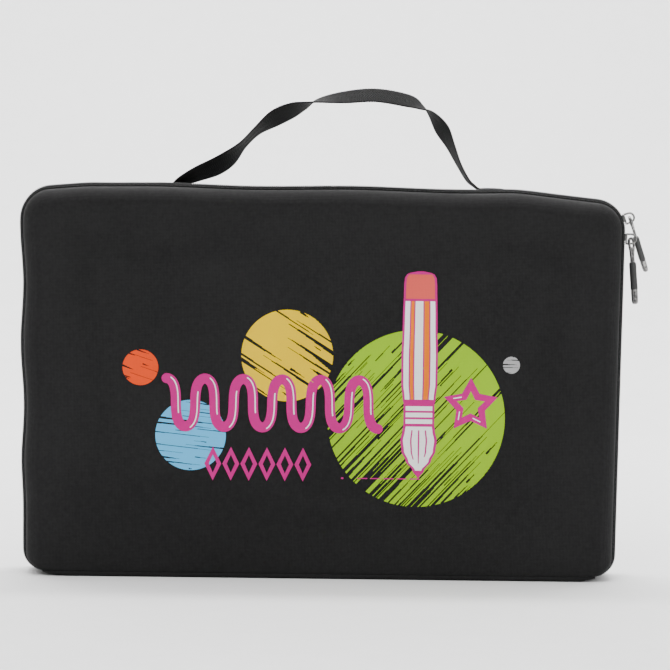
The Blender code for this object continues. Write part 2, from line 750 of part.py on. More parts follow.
def main():
    clear_scene()
    cloth = material("black_cloth", (0.017, 0.017, 0.018), 0.85)
    lining = material("grey_lining", (0.060, 0.062, 0.066), 0.80)
    foam = material("foam", (0.30, 0.30, 0.31), 0.95)
    board = material("board", (0.10, 0.10, 0.10), 0.60)
    tape = material("zip_tape", (0.012, 0.012, 0.012), 0.90)
    coil = material("zip_coil", (0.010, 0.010, 0.010), 0.45)
    binding = material("binding", (0.015, 0.015, 0.015), 0.85)
    webbing = material("webbing", (0.020, 0.020, 0.021), 0.75)
    nickel = material("nickel", (0.52, 0.52, 0.51), 0.28, 1.0)
    rubber = material("rubber", (0.015, 0.015, 0.015), 0.55)

    front_fold = empty_at("front_cover_fold", FRONT_FOLD)
    back_fold = empty_at("back_shell_fold", BACK_FOLD)
    handle_pivot = empty_at("handle_pivot", HANDLE_AXIS)
    bpy.context.view_layer.update()
    handle_pivot.parent = back_fold
    handle_pivot.matrix_parent_inverse = back_fold.matrix_world.inverted()

    make_spine(cloth, board, lining)
    make_front_cover(front_fold, cloth, foam, lining, tape, coil, binding)
    make_back_shell(back_fold, cloth, foam, lining, tape, coil, binding)
    make_handle(back_fold, handle_pivot, webbing, cloth)
    make_sliders(back_fold, nickel, rubber)


main()
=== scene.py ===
"""The looks of the padded portfolio case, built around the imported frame."""

import math
import random

import bmesh
import bpy
from mathutils import Matrix, Vector


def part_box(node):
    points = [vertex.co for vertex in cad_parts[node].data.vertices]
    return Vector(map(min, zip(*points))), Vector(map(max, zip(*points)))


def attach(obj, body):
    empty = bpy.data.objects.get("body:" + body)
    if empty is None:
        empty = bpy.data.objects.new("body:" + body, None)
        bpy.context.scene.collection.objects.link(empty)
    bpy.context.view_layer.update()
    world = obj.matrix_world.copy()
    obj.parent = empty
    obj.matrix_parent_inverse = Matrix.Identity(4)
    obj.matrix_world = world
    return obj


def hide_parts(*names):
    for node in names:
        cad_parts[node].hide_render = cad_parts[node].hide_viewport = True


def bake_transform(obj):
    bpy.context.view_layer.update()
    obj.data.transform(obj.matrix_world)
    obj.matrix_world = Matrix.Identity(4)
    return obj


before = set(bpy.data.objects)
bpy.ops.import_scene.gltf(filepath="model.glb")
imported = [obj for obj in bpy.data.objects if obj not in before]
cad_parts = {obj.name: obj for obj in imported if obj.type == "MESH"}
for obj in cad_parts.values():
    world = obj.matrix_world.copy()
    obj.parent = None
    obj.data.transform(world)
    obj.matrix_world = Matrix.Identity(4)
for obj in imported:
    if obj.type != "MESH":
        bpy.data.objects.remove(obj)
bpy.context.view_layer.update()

# ---- dimensions

# The zip's outer edge, clockwise seen from the front: x, z and corner radius
CORNER_RADIUS = 0.024
BOTTOM_RADIUS = 0.017
CREST_RADIUS = 0.100
CORNERS = (
    (-0.2293, 0.0000, BOTTOM_RADIUS),
    (-0.2323, 0.2980, CORNER_RADIUS),
    (-0.1800, 0.3025, CREST_RADIUS),
    (0.1480, 0.3008, CREST_RADIUS),
    (0.2330, 0.2920, CORNER_RADIUS),
    (0.2293, 0.0000, BOTTOM_RADIUS),
)
TOP_RIGHT = 4
SIDE_STEPS = (56, 8, 56, 14, 56, 70)  # along each straight side, the bottom last
CORNER_STEPS = 10
CREST_STEPS = 2

FRONT_Y = -0.0250
ZIP_Y = -0.0060
ZIP_BASE = 0.0020
ZIP_HALF_END = 0.2110
SPINE_HALF = 0.2080
FOLD_REACH = 0.0045  # how far the bottom folds run past the gusset
END_TURN = 0.0120  # length of the gusset's turned-up ends
END_RISE = 0.0026
EDGE_WIDE = 0.0160  # width of the front cloth's rounded edge
EDGE_INSET = 0.0030
WALL_INSET = 0.0008
GUSSET_DROP = -0.0004  # how far the side gusset runs below its inset at the bottom

WEB_WIDE = 0.0200
WEB_THICK = 0.0015
WEB_Y = 0.0135
STRAP_STEP = 0.00042
STRAP_TOP = 0.0003 + WEB_THICK  # sewn end's upper side over the gusset
PICK = 0.0021  # spacing of the crosswise threads
PICK_HEIGHT = 0.00018
CHEVRON = 0.0033  # width of one slanted run of the weave
STRAP_MAP = "strap"  # the UV map that holds distances along and across the strap
LEFT_ROOT = -0.1120
RIGHT_ROOT = 0.1215
TAIL = 0.0180
LEFT_SPLIT = -0.0930
RIGHT_SPLIT = 0.1105

COIL_PITCH = 0.0016
COIL_WIRE = 0.00033
COIL_LIFT = 0.00060  # half the height of a turn
STITCH_PITCH = 0.0036
STITCH_WIRE = 0.00022

PLATE_TOP = 0.0019
CROWN_OUT = 0.0052
ARCH_RADIUS = 0.0036
UPPER_ANGLE = math.radians(20.0)
LOWER_Z = 0.2640


# ---- outline


def edge_lines(inset, base):
    """The outline's sides as lines, moved in by inset and the bottom one by base."""
    lines = []
    for index, (x, z, _) in enumerate(CORNERS):
        next_x, next_z, _ = CORNERS[(index + 1) % len(CORNERS)]
        along = Vector((next_x - x, next_z - z)).normalized()
        inward = Vector((along.y, -along.x))
        distance = base if index == len(CORNERS) - 1 else inset
        lines.append((Vector((x, z)) + inward * distance, along))
    return lines


def crossing(first, second):
    between = second[0] - first[0]
    cross = first[1].cross(second[1])
    return first[0] + first[1] * (between.cross(second[1]) / cross)


def corner_arcs(inset, base):
    """The outline's rounded corners, each a list of points."""
    lines = edge_lines(inset, base)
    arcs = []
    for index, (_, _, radius) in enumerate(CORNERS):
        before, after = lines[index - 1], lines[index]
        corner = crossing(before, after)
        turn = abs(before[1].angle_signed(after[1]))
        fillet = max(radius - inset, 0.0015 + 0.02 * inset)
        start = corner - before[1] * (fillet * math.tan(turn / 2.0))
        centre = start + Vector((before[1].y, -before[1].x)) * fillet
        steps = CREST_STEPS if radius == CREST_RADIUS else CORNER_STEPS
        turns = [turn * step / steps for step in range(steps + 1)]
        arcs.append([centre + (start - centre) @ Matrix.Rotation(t, 2) for t in turns])
    return arcs


def outline(inset, base, closed=True):
    """The shell's whole outline, or the zip's run from its left end over the top to its right end."""
    arcs = corner_arcs(inset, base)
    points = [] if closed else [Vector((-ZIP_HALF_END, base))]
    for index, arc in enumerate(arcs):
        points.extend(arc)
        if closed or index < len(arcs) - 1:
            after = arcs[(index + 1) % len(arcs)][0]
            steps = SIDE_STEPS[index]
            points.extend(arc[-1].lerp(after, step / steps) for step in range(1, steps))
    return points if closed else [*points, Vector((ZIP_HALF_END, base))]


def top_height(x, inset=0.0):
    """Height of the shell's top at x."""
    sides = edge_lines(inset, 0.0)[1:4]
    return min(point.y + along.y / along.x * (x - point.x) for point, along in sides)


def smooth(value, low, high):
    t = min(max((value - low) / (high - low), 0.0), 1.0)
    return t * t * (3.0 - 2.0 * t)


def soften(x, z):
    """The slack of the sewn shell: every cloth layer shares it. It dies out on the sliders' track."""
    left = smooth(-x, 0.120, 0.215)
    ripple = math.cos(2.0 * math.pi * (z - 0.178) / 0.094)
    x -= 0.0011 * left * ripple * smooth(z, 0.03, 0.10) * smooth(-z, -0.295, -0.270)
    middle = smooth(-abs(x), -0.200, -0.120)
    top = smooth(z, 0.20, 0.29)
    z += top * middle * 0.0007 * math.sin(x * 41.0 + 0.6)
    return x, z


# ---- mesh tools


def linked(name, bm):
    mesh = bpy.data.meshes.new(name)
    bm.to_mesh(mesh)
    bm.free()
    made = bpy.data.objects.new(name, mesh)
    bpy.context.scene.collection.objects.link(made)
    return made


def new_object(name, bm, smooth_angle=35.0):
    bmesh.ops.recalc_face_normals(bm, faces=bm.faces)
    made = linked(name, bm)
    made.data.shade_smooth()
    if smooth_angle:
        made.data.set_sharp_from_angle(angle=math.radians(smooth_angle))
    return made


def evaluated_mesh(made):
    graph = bpy.context.evaluated_depsgraph_get()
    return bpy.data.meshes.new_from_object(made.evaluated_get(graph), depsgraph=graph)


def ring_vertices(bm, points, y):
    return [bm.verts.new((point[0], y, point[1])) for point in points]


def join_rings(bm, first, second, closed=True):
    count = len(first)
    for index in range(count if closed else count - 1):
        after = (index + 1) % count
        bm.faces.new((first[index], first[after], second[after], second[index]))


def sweep(bm, rings, caps=True, closed=True):
    for first, second in zip(rings, rings[1:]):
        join_rings(bm, first, second, closed)
    if caps:
        bm.faces.new(rings[0])
        bm.faces.new(rings[-1])


def thickened(piece, thickness, offset):
    """Gives a sheet of faces its cloth's thickness."""
    thick = piece.modifiers.new("cloth", "SOLIDIFY")
    thick.thickness = thickness
    thick.offset = offset
    mesh = evaluated_mesh(piece)
    piece.modifiers.clear()
    piece.data = mesh
    return piece


def give(piece, body, slot, material, *nodes):
    """Sets a piece's material, its body and the CAD nodes it stands for; the slot argument is not used."""
    piece.data.materials.clear()
    piece.data.materials.append(material)
    if body:
        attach(piece, body)
    if nodes:
        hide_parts(*nodes)
    return piece


def soft_ring(inset, base, closed=True):
    return [soften(point.x, point.y) for point in outline(inset, base, closed)]


def soft_route(inset, base_rise):
    return [Vector(point) for point in soft_ring(inset, inset + base_rise, False)]


def band(name, section, base_rise):
    """A strip that follows the zip; section holds (inset, y) pairs round its closed outline."""
    bm = bmesh.new()
    rings = [ring_vertices(bm, soft_route(inset, base_rise), y) for inset, y in section]
    for index, ring in enumerate(rings):
        join_rings(bm, ring, rings[(index + 1) % len(rings)], closed=False)
    bm.faces.new([ring[0] for ring in rings])
    bm.faces.new([ring[-1] for ring in rings])
    return new_object(name, bm, 50.0)


def tube(bm, route, radius, sides):
    """A round wire through the points, with capped ends."""
    rings = []
    count = len(route)
    up = Vector((0.0, 1.0, 0.0))
    for index, point in enumerate(route):
        before = route[max(index - 1, 0)]
        after = route[min(index + 1, count - 1)]
        along = (after - before).normalized()
        side = along.cross(up)
        if side.length < 0.2:
            side = along.cross(Vector((1.0, 0.0, 0.3)))
        side.normalize()
        other = along.cross(side)
        ring = []
        for step in range(sides):
            angle = 2.0 * math.pi * step / sides
            place = point + (side * math.cos(angle) + other * math.sin(angle)) * radius
            ring.append(bm.verts.new(place))
        rings.append(ring)
    sweep(bm, rings)


# ---- materials


class Nodes:
    """A short way to write a material's node tree."""

    def __init__(self, name):
        self.material = bpy.data.materials.new(name)
        self.material.use_nodes = True
        self.tree = self.material.node_tree
        self.shader = self.tree.nodes["Principled BSDF"]
        self.place = self.add("ShaderNodeTexCoord").outputs["Object"]

    def add(self, kind, **values):
        node = self.tree.nodes.new(kind)
        for key, value in values.items():
            setattr(node, key, value)
        return node

    def link(self, value, socket):
        if isinstance(value, bpy.types.NodeSocket):
            self.tree.links.new(value, socket)
        else:
            socket.default_value = value

    def math(self, operation, first, second=0.0, third=0.0):
        node = self.add("ShaderNodeMath", operation=operation)
        for value, socket in zip((first, second, third), node.inputs):
            self.link(value, socket)
        return node.outputs[0]

    def noise(self, scale, detail=3.0, rough=0.5):
        node = self.add("ShaderNodeTexNoise")
        self.link(self.place, node.inputs["Vector"])
        for name, number in (("Scale", scale), ("Detail", detail), ("Roughness", rough)):
            node.inputs[name].default_value = number
        return node.outputs["Fac"]

    def total(self, *parts):
        """The sum of values, each times its weight."""
        result = None
        for value, weight in parts:
            part = value if weight == 1.0 else self.math("MULTIPLY", value, weight)
            result = part if result is None else self.math("ADD", result, part)
        return result

    def ramp(self, value, stops):
        node = self.add("ShaderNodeValToRGB")
        self.link(value, node.inputs["Fac"])
        elements = node.color_ramp.elements
        while len(elements) < len(stops):
            elements.new(0.5)
        for element, (position, colour) in zip(elements, stops):
            element.position = position
            element.color = (*colour, 1.0)
        return node.outputs["Color"]

    def span(self, value, low, high, out_low, out_high):
        node = self.add("ShaderNodeMapRange")
        for number, socket in zip((value, low, high, out_low, out_high), node.inputs):
            self.link(number, socket)
        return node.outputs[0]

    def parts(self, place):
        node = self.add("ShaderNodeSeparateXYZ")
        self.link(place, node.inputs[0])
        return node.outputs

    def surface(self, **values):
        """Sets the shader's sockets; an underscore in a name stands for a space."""
        for name, value in values.items():
            self.link(value, self.shader.inputs[name.replace("_", " ")])

    def bump(self, height, strength, distance):
        node = self.add("ShaderNodeBump")
        node.inputs["Strength"].default_value = strength
        node.inputs["Distance"].default_value = distance
        self.link(height, node.inputs["Height"])
        self.surface(Normal=node.outputs["Normal"])

    def thread(self, place, pitch):
        return self.math("SINE", self.math("MULTIPLY", place, 2.0 * math.pi / pitch))

    def weave(self, pitch):
        """Threads crossing at right angles on every plane along the axes, from 0 to 1."""
        threads = [(self.thread(axis, pitch), 1.0) for axis in self.parts(self.place)]
        return self.span(self.total(*threads), -2.0, 2.0, 0.0, 1.0)


def mixed(colour, factor):
    return tuple(channel * factor for channel in colour)


def cloth_material(name, colour, pitch=0.0011, roughness=0.78, sheen=0.25, relief=0.6):
    """Woven polyester: crossing threads, uneven dye and a slight nap."""
    nodes = Nodes(name)
    threads = nodes.weave(pitch)
    uneven = nodes.noise(9.0, 3.0, 0.6)
    fuzz = nodes.noise(900.0, 2.0, 0.6)
    slub = nodes.noise(330.0, 3.0, 0.65)
    blend = nodes.total((uneven, 0.25), (slub, 0.45), (fuzz, 0.20), (threads, 0.10))
    stops = ((0.35, mixed(colour, 0.42)), (0.65, mixed(colour, 1.85)))
    rough = nodes.span(fuzz, 0.2, 0.8, roughness - 0.08, min(roughness + 0.10, 1.0))
    nodes.surface(Base_Color=nodes.ramp(blend, stops), Roughness=rough, Specular_IOR_Level=0.22)
    nodes.surface(Sheen_Weight=sheen, Sheen_Roughness=0.45)
    nodes.bump(nodes.total((threads, 1.0), (fuzz, 0.7)), relief, 0.00012)
    return nodes.material


def webbing_material(name, colour):
    """Coarse webbing: chevrons along the strap, read from the strap's own UV map in metres."""
    nodes = Nodes(name)
    uv = nodes.add("ShaderNodeUVMap", uv_map=STRAP_MAP)
    along, across, _ = nodes.parts(uv.outputs["UV"])
    picks = nodes.thread(nodes.math("ADD", along, nodes.math("PINGPONG", across, CHEVRON)), PICK)
    cords = nodes.thread(across, 0.0011)
    fuzz = nodes.noise(1100.0, 2.0, 0.6)
    height = nodes.total((picks, 1.0), (cords, 0.35), (fuzz, 0.5))
    shade = nodes.span(height, -1.2, 1.7, 0.0, 1.0)
    stops = ((0.1, mixed(colour, 0.45)), (0.9, mixed(colour, 1.8)))
    rough = nodes.span(fuzz, 0.2, 0.8, 0.55, 0.75)
    nodes.surface(Base_Color=nodes.ramp(shade, stops), Roughness=rough, Specular_IOR_Level=0.10)
    nodes.bump(height, 0.85, 0.00035)
    return nodes.material


def grained_material(name, tone, stops, dull, dull_span, grain, relief, metallic=0.0):
    """One substance, with noise in its colour, its roughness and its relief."""
    nodes = Nodes(name)
    shade = nodes.ramp(nodes.noise(*tone), stops)
    rough = nodes.span(nodes.noise(*dull), *dull_span)
    nodes.surface(Base_Color=shade, Roughness=rough, Metallic=metallic)
    nodes.bump(nodes.noise(*grain), *relief)
    return nodes.material


def grey_stops(low, dark, high, light):
    return ((low, (dark, dark, dark)), (high, (light, light, light)))


def metal_material(name):
    """Satin nickel plate with fine tumbling marks and duller blotches, whose darker colour is a painted
    reflection.
    """
    # These blotches set both the roughness and the colour; the colours below are a painted dark
    # reflection, far darker than nickel.
    dull_and_painted_reflection = (420.0, 4.0, 0.6)
    stops = ((0.38, (0.060, 0.059, 0.058)), (0.62, (0.30, 0.295, 0.29)))
    marks = (2600.0, 2.0, 0.5)
    dull_span = (0.3, 0.7, 0.36, 0.20)
    return grained_material(name, dull_and_painted_reflection, stops, dull_and_painted_reflection, dull_span, marks, (0.25, 0.00006), 1.0)


def rubber_material(name):
    grain = (1500.0, 3.0, 0.6)
    scuffs = (160.0, 4.0, 0.7)
    stops = grey_stops(0.35, 0.008, 0.8, 0.022)
    return grained_material(name, scuffs, stops, grain, (0.3, 0.7, 0.42, 0.60), grain, (0.4, 0.00005))


def coil_material(name):
    wear = (300.0, 3.0, 0.6)
    grain = (2400.0, 3.0, 0.5)
    stops = grey_stops(0.3, 0.006, 0.8, 0.020)
    return grained_material(name, wear, stops, wear, (0.2, 0.8, 0.28, 0.45), grain, (0.2, 0.00004))


def board_material(name):
    grain = (700.0, 4.0, 0.6)
    stops = grey_stops(0.3, 0.07, 0.7, 0.12)
    return grained_material(name, grain, stops, grain, (0.3, 0.7, 0.5, 0.65), grain, (0.3, 0.00008))


def foam_material(name):
    nodes = Nodes(name)
    cells = nodes.add("ShaderNodeTexVoronoi")
    nodes.link(nodes.place, cells.inputs["Vector"])
    cells.inputs["Scale"].default_value = 900.0
    cell = cells.outputs["Distance"]
    shade = nodes.ramp(cell, ((0.0, (0.16, 0.16, 0.165)), (1.0, (0.34, 0.34, 0.35))))
    nodes.surface(Base_Color=shade, Roughness=nodes.span(nodes.noise(60.0), 0.3, 0.7, 0.85, 0.98))
    nodes.bump(cell, 0.5, 0.0003)
    return nodes.material


def ink_material(name, colour):
    """A printed film on the cloth: the weave shows through it as relief and as faint wear."""
    nodes = Nodes(name)
    threads = nodes.weave(0.0011)
    wear = nodes.noise(700.0, 3.0, 0.7)
    blend = nodes.total((threads, 0.5), (wear, 0.5))
    shade = nodes.ramp(blend, ((0.20, mixed(colour, 0.90)), (0.55, colour)))
    rough = nodes.span(wear, 0.3, 0.7, 0.50, 0.66)
    nodes.surface(Base_Color=shade, Roughness=rough, Specular_IOR_Level=0.10)
    nodes.bump(threads, 0.25, 0.00008)
    return nodes.material


def floor_material(name):
    nodes = Nodes(name)
    shade = nodes.ramp(nodes.noise(40.0, 3.0, 0.6), grey_stops(0.3, 0.86, 0.7, 0.88))
    nodes.surface(Base_Color=shade, Roughness=0.9)
    return nodes.material


CLOTH = cloth_material("black_cloth", (0.0052, 0.0052, 0.0053), sheen=0.0)
TAPE = cloth_material("zip_tape", (0.0046, 0.0046, 0.0047), 0.0008, 0.85, 0.0)
BINDING = cloth_material("binding", (0.006, 0.006, 0.0061), 0.0009, 0.8, 0.1)
LINING = cloth_material("lining", (0.028, 0.029, 0.031), 0.0007, 0.7, 0.1, 0.4)
THREAD = cloth_material("thread", (0.010, 0.010, 0.0102), 0.0004, 0.6, 0.15)
WEBBING = webbing_material("webbing", (0.0042, 0.0042, 0.0043))
NICKEL = metal_material("nickel")
RUBBER = rubber_material("rubber")
COIL = coil_material("coil")
FOAM = foam_material("foam")
BOARD = board_material("board")


# ---- shell


FACE_CENTRE = (0.0, 0.150)


def front_surface(x, z, edge):
    """Height of the printed face's own slack over its plane; edge is the distance in from the seam."""
    inside = smooth(edge, 0.0, 0.070)
    puff = 0.0011 * inside
    low = math.sin(x * 17.0 + 1.1) * math.sin(z * 19.0 + 0.4)
    low += 0.6 * math.sin(x * 34.0 - z * 21.0 + 2.0)
    puff += 0.00055 * low * smooth(edge, 0.010, 0.060)
    return puff


def seam_distance(x, z):
    """Distance from a point on the face to the nearest side of the outline."""
    best = 1.0
    for point, along in edge_lines(EDGE_INSET, 0.0035):
        across = Vector((x, z)) - point
        best = min(best, across.dot(Vector((along.y, -along.x))))
    return best


def face_y(x, z):
    """The printed face's Y at a point well inside its rounded edge."""
    return FRONT_Y - front_surface(x, z, seam_distance(x, z) - EDGE_WIDE)


def panel_cloth(name, face, wall, low_wall, edge_radius, edge_inset, base, toward, pucker):
    """A padded cover: a rounded edge from the seam to the face, and a slack face."""
    bm = bmesh.new()
    rings = []
    steps = 14
    middle = edge_inset + edge_radius
    for step in range(steps + 1):
        angle = math.pi / 2.0 * step / steps
        inset = middle - edge_radius * math.cos(angle)
        height = base + 0.0030 * (1.0 - math.cos(angle))
        ring = soft_ring(inset, height)
        vertices = []
        for index, (x, z) in enumerate(ring):
            round_corner = smooth(abs(x), SPINE_HALF + 0.0005, SPINE_HALF + 0.0065)
            risen = max(smooth(z, base, base + 0.020), round_corner)
            root = low_wall + (wall - low_wall) * risen
            depth = root + (face - root) * math.sin(angle)
            length = index * 0.005
            wrinkle = math.sin(length * 610.0 + 1.7 * math.sin(length * 83.0))
            wrinkle += 0.7 * math.sin(length * 365.0)
            lift = pucker * wrinkle * math.sin(angle * 2.0) ** 2
            vertices.append(bm.verts.new((x, depth + toward * lift, z)))
        rings.append(vertices)
    border = [(vertex.co.x, vertex.co.z) for vertex in rings[-1]]
    centre_x, centre_z = FACE_CENTRE
    rows = 26
    for row in range(1, rows):
        share = (row / rows) ** 0.8
        vertices = []
        for x, z in border:
            px = x + (centre_x - x) * share
            pz = z + (centre_z - z) * share
            lift = front_surface(px, pz, seam_distance(px, pz) - edge_radius)
            vertices.append(bm.verts.new((px, face + toward * lift, pz)))
        rings.append(vertices)
    sweep(bm, rings, caps=False)
    bm.faces.new(rings[-1])
    return thickened(new_object(name, bm, 60.0), 0.0009, -1.0)


def stitch_row(bm, first, last, out):
    """Stitches along a straight line, each a short thread that dips into the cloth at its ends."""
    length, gap, radius = 0.0026, 0.0009, 0.00024
    total = (last - first).length
    for index in range(max(int(total / (length + gap)), 1)):
        start = index * (length + gap)
        places = []
        for share in (0.0, 0.25, 0.5, 0.75, 1.0):
            lift = radius * (0.9 * math.sin(math.pi * share) - 0.35)
            at = min(start + length * share, total)
            places.append(first.lerp(last, at / total) + out * lift)
        tube(bm, places, radius, 5)


def make_shell():
    front = panel_cloth(
        "front_cloth", FRONT_Y, -0.0128, -0.0238, EDGE_WIDE, EDGE_INSET, 0.0033, -1.0, 0.00016
    )
    give(front, "front_cover", "shell_cloth", CLOTH, "front_panel")
    back = panel_cloth("back_cloth", 0.0249, 0.0215, 0.0236, 0.0032, 0.0008, 0.0016, 0.0, 0.0)
    give(back, "back_shell", "shell_cloth", CLOTH, "back_panel")
    section = [(WALL_INSET + 0.0002, 0.0020), (WALL_INSET - 0.0003, 0.0030)]
    section += [(WALL_INSET - 0.0004, 0.0030 + 0.0037 * step) for step in range(1, 5)]
    section += [(WALL_INSET + 0.0003, 0.0210), (WALL_INSET + 0.0012, 0.0210)]
    section += [(WALL_INSET + 0.0008, 0.0110), (WALL_INSET + 0.0012, 0.0020)]
    side = band("side_cloth", section, GUSSET_DROP)
    give(side, "back_shell", "shell_cloth", CLOTH, "side_gusset")


# Each tape's cross-section: inset and distance from the zip's middle
FRONT_TAPE = (
    (0.0004, -0.0016), (0.0004, -0.0038), (0.0016, -0.0050), (0.0032, -0.0058),
    (0.0043, -0.0068), (0.0045, -0.0086), (0.0051, -0.0086), (0.0049, -0.0064),
    (0.0036, -0.0053), (0.0020, -0.0045), (0.0010, -0.0036), (0.0010, -0.0016),
)
BACK_TAPE = (
    (0.0004, 0.0016), (0.0004, 0.0042), (0.0012, 0.0062), (0.0022, 0.0082), (0.0022, 0.0130),
    (0.0028, 0.0130), (0.0028, 0.0080), (0.0018, 0.0060), (0.0010, 0.0040), (0.0010, 0.0016),
)


def make_zip():
    halves = (("front", -1.0, "front_cover", FRONT_TAPE), ("back", 1.0, "back_shell", BACK_TAPE))
    for side, _, body, section in halves:
        section = [(inset, ZIP_Y + y) for inset, y in section]
        give(band(f"{side}_tape", section, ZIP_BASE), body, "zip_tape", TAPE, f"{side}_zip_tape")
    for side, sign, body, _ in halves:
        give(zip_coil(f"{side}_coil", sign), body, "zip_coil", COIL, f"{side}_zip_coil")


def walk(points, spacing):
    """Evenly spaced places along a route, each with its direction."""
    places = []
    left = 0.0
    for a, b in zip(points, points[1:]):
        step = (b - a).length
        if step < 1e-9:
            continue
        along = (b - a) / step
        while left <= step:
            places.append((a + along * left, along))
            left += spacing
        left -= step
    return places


def zip_coil(name, sign):
    """One half of the nylon coil: a flattened helix whose turns mesh with the other half's."""
    parts = 8
    bm = bmesh.new()
    places = walk(soft_route(0.0003, ZIP_BASE), COIL_PITCH / parts)
    start = 0 if sign > 0 else parts // 2
    wire = []
    for index in range(start, len(places)):
        place, along = places[index]
        angle = 2.0 * math.pi * index / parts
        outward = Vector((-along.y, along.x))
        across = sign * (0.0012 + 0.0013 * -math.cos(angle))
        spot = place + outward * (COIL_LIFT * math.sin(angle))
        wire.append(Vector((spot.x, ZIP_Y + across, spot.y)))
    tube(bm, wire, COIL_WIRE, 5)
    return new_object(name, bm, 0.0)


def end_rise(x):
    """How far the bottom's rounded ends turn up at x."""
    over = max(abs(x) - (SPINE_HALF - END_TURN), 0.0) / (END_TURN + FOLD_REACH)
    return END_RISE * over * over


def make_bottom():
    """The bottom cloth and the two soft folds that join it to the covers."""
    box_low, box_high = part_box("bottom_gusset")
    bm = bmesh.new()
    columns = 60
    profile = [(-0.0232, 0.0010), (-0.0229, 0.0003), (-0.0222, 0.0)]
    profile += [(y / 1000.0, 0.0) for y in (-15, -7, 0, 8, 16)]
    profile += [(0.0227, 0.0), (0.0234, 0.0003), (0.0237, 0.0010)]
    profile += [(0.0228, 0.0010), (0.0, 0.0009), (-0.0223, 0.0010)]
    rings = []
    for column in range(columns + 1):
        x = box_low[0] + (box_high[0] - box_low[0]) * column / columns
        rise = end_rise(x)
        rings.append([bm.verts.new((x, y, z + rise)) for y, z in profile])
    sweep(bm, rings)
    give(new_object("bottom_cloth", bm), "spine", "shell_cloth", CLOTH, "bottom_gusset")
    front = [(-0.0222, 0.0005), (-0.0239, 0.0008), (-0.0246, 0.0018)]
    front += [(-0.0246, 0.0031), (-0.0239, 0.0040)]
    fold = fold_strip("front_fold", front)
    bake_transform(fold)
    back = [(0.0232, 0.0006), (0.0243, 0.0004), (0.0247, 0.0010), (0.0247, 0.0036)]
    fold = fold_strip("back_fold", back)
    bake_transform(fold)


def fold_strip(name, profile):
    """A narrow strip of cloth along the bottom, from one edge of the profile to the other."""
    bm = bmesh.new()
    curve = []
    for a, b in zip(profile, profile[1:]):
        curve += [Vector(a).lerp(Vector(b), step / 4.0) for step in range(4)]
    curve.append(Vector(profile[-1]))
    rings = []
    columns = 80
    reach = SPINE_HALF + FOLD_REACH
    for column in range(columns + 1):
        x = reach * (2.0 * column / columns - 1.0)
        draw = 1.0 - 0.05 * smooth(abs(x), reach - END_TURN, reach)
        rise = end_rise(x)
        rings.append([bm.verts.new((x, y * draw, z + rise * (1.0 - z / 0.005))) for y, z in curve])
    sweep(bm, rings, caps=False, closed=False)
    return give(thickened(new_object(name, bm, 60.0), 0.0006, 0.0), None, "shell_cloth", CLOTH)


def make_seams():
    """Rows of stitching: along the front zip tape and along the side gusset's two edges."""
    rows = (
        ("front_tape_stitches", "front_cover", 0.0021, ZIP_Y - 0.0054),
        ("gusset_front_stitches", "back_shell", WALL_INSET - 0.0004, 0.0042),
        ("gusset_back_stitches", "back_shell", WALL_INSET - 0.0004, 0.0190),
    )
    shares = (0.0, 0.3, 0.5, 0.7, 1.0)
    for name, body, inset, y in rows:
        bm = bmesh.new()
        base_rise = ZIP_BASE if body == "front_cover" else GUSSET_DROP
        for place, along in walk(soft_route(inset, base_rise), STITCH_PITCH):
            outward = Vector((-along.y, along.x))
            lifts = [outward * (STITCH_WIRE * math.sin(math.pi * share)) for share in shares]
            spots = [place + along * (0.0027 * share) + lift for share, lift in zip(shares, lifts)]
            tube(bm, [Vector((spot.x, y, spot.y)) for spot in spots], STITCH_WIRE, 5)
        give(new_object(name, bm, 0.0), body, "binding", THREAD)


# ---- print

INKS = {
    "yellow": (0.72, 0.48, 0.0),
    "blue": (0.09, 0.42, 0.72),
    "green": (0.25, 0.46, 0.004),
    "orange": (0.70, 0.060, 0.008),
    "grey": (0.33, 0.33, 0.33),
    "magenta": (0.46, 0.010, 0.18),
    "white": (0.82, 0.82, 0.82),
    "coral": (0.62, 0.085, 0.07),
    "amber": (0.74, 0.17, 0.004),
}

# Discs drawn in crayon: ink, centre x and z, radius, hatch direction in degrees, share of the gaps
# that start at the side the hatch points to, their number and their greatest half width
DISCS = (
    ("orange", -0.1380, 0.1617, 0.0137, -18.0, 0.5, 9, 0.00080),
    ("yellow", -0.0259, 0.1720, 0.0351, -32.0, 0.55, 17, 0.00165),
    ("blue", -0.0992, 0.1102, 0.0270, -6.0, 0.5, 18, 0.00100),
    ("green", 0.0732, 0.1248, 0.0679, 47.0, 0.25, 74, 0.00150),
    ("grey", 0.1455, 0.1667, 0.0065, 0.0, 0.5, 5, 0.00080),
)
FILM = 0.00007
DISC_LIFT = 0.00012
LINE_LIFT = 0.00022
TOP_LIFT = 0.00032
BRISTLE_LIFT = 0.00042


def on_face(bm, x, z, lift):
    return bm.verts.new((x, face_y(x, z) - lift, z))


def film(name, bm, colour):
    """Turns a layer of flat patches on the face into a thin film of ink."""
    bmesh.ops.remove_doubles(bm, verts=bm.verts, dist=0.000002)
    bmesh.ops.recalc_face_normals(bm, faces=bm.faces)
    facing = sum(face.normal.y * face.calc_area() for face in bm.faces)
    if facing > 0.0:
        bmesh.ops.reverse_faces(bm, faces=bm.faces)
    made = thickened(linked(name, bm), FILM, -1.0)
    return give(made, "front_cover", "print_ink", ink_material(name, INKS[colour]))


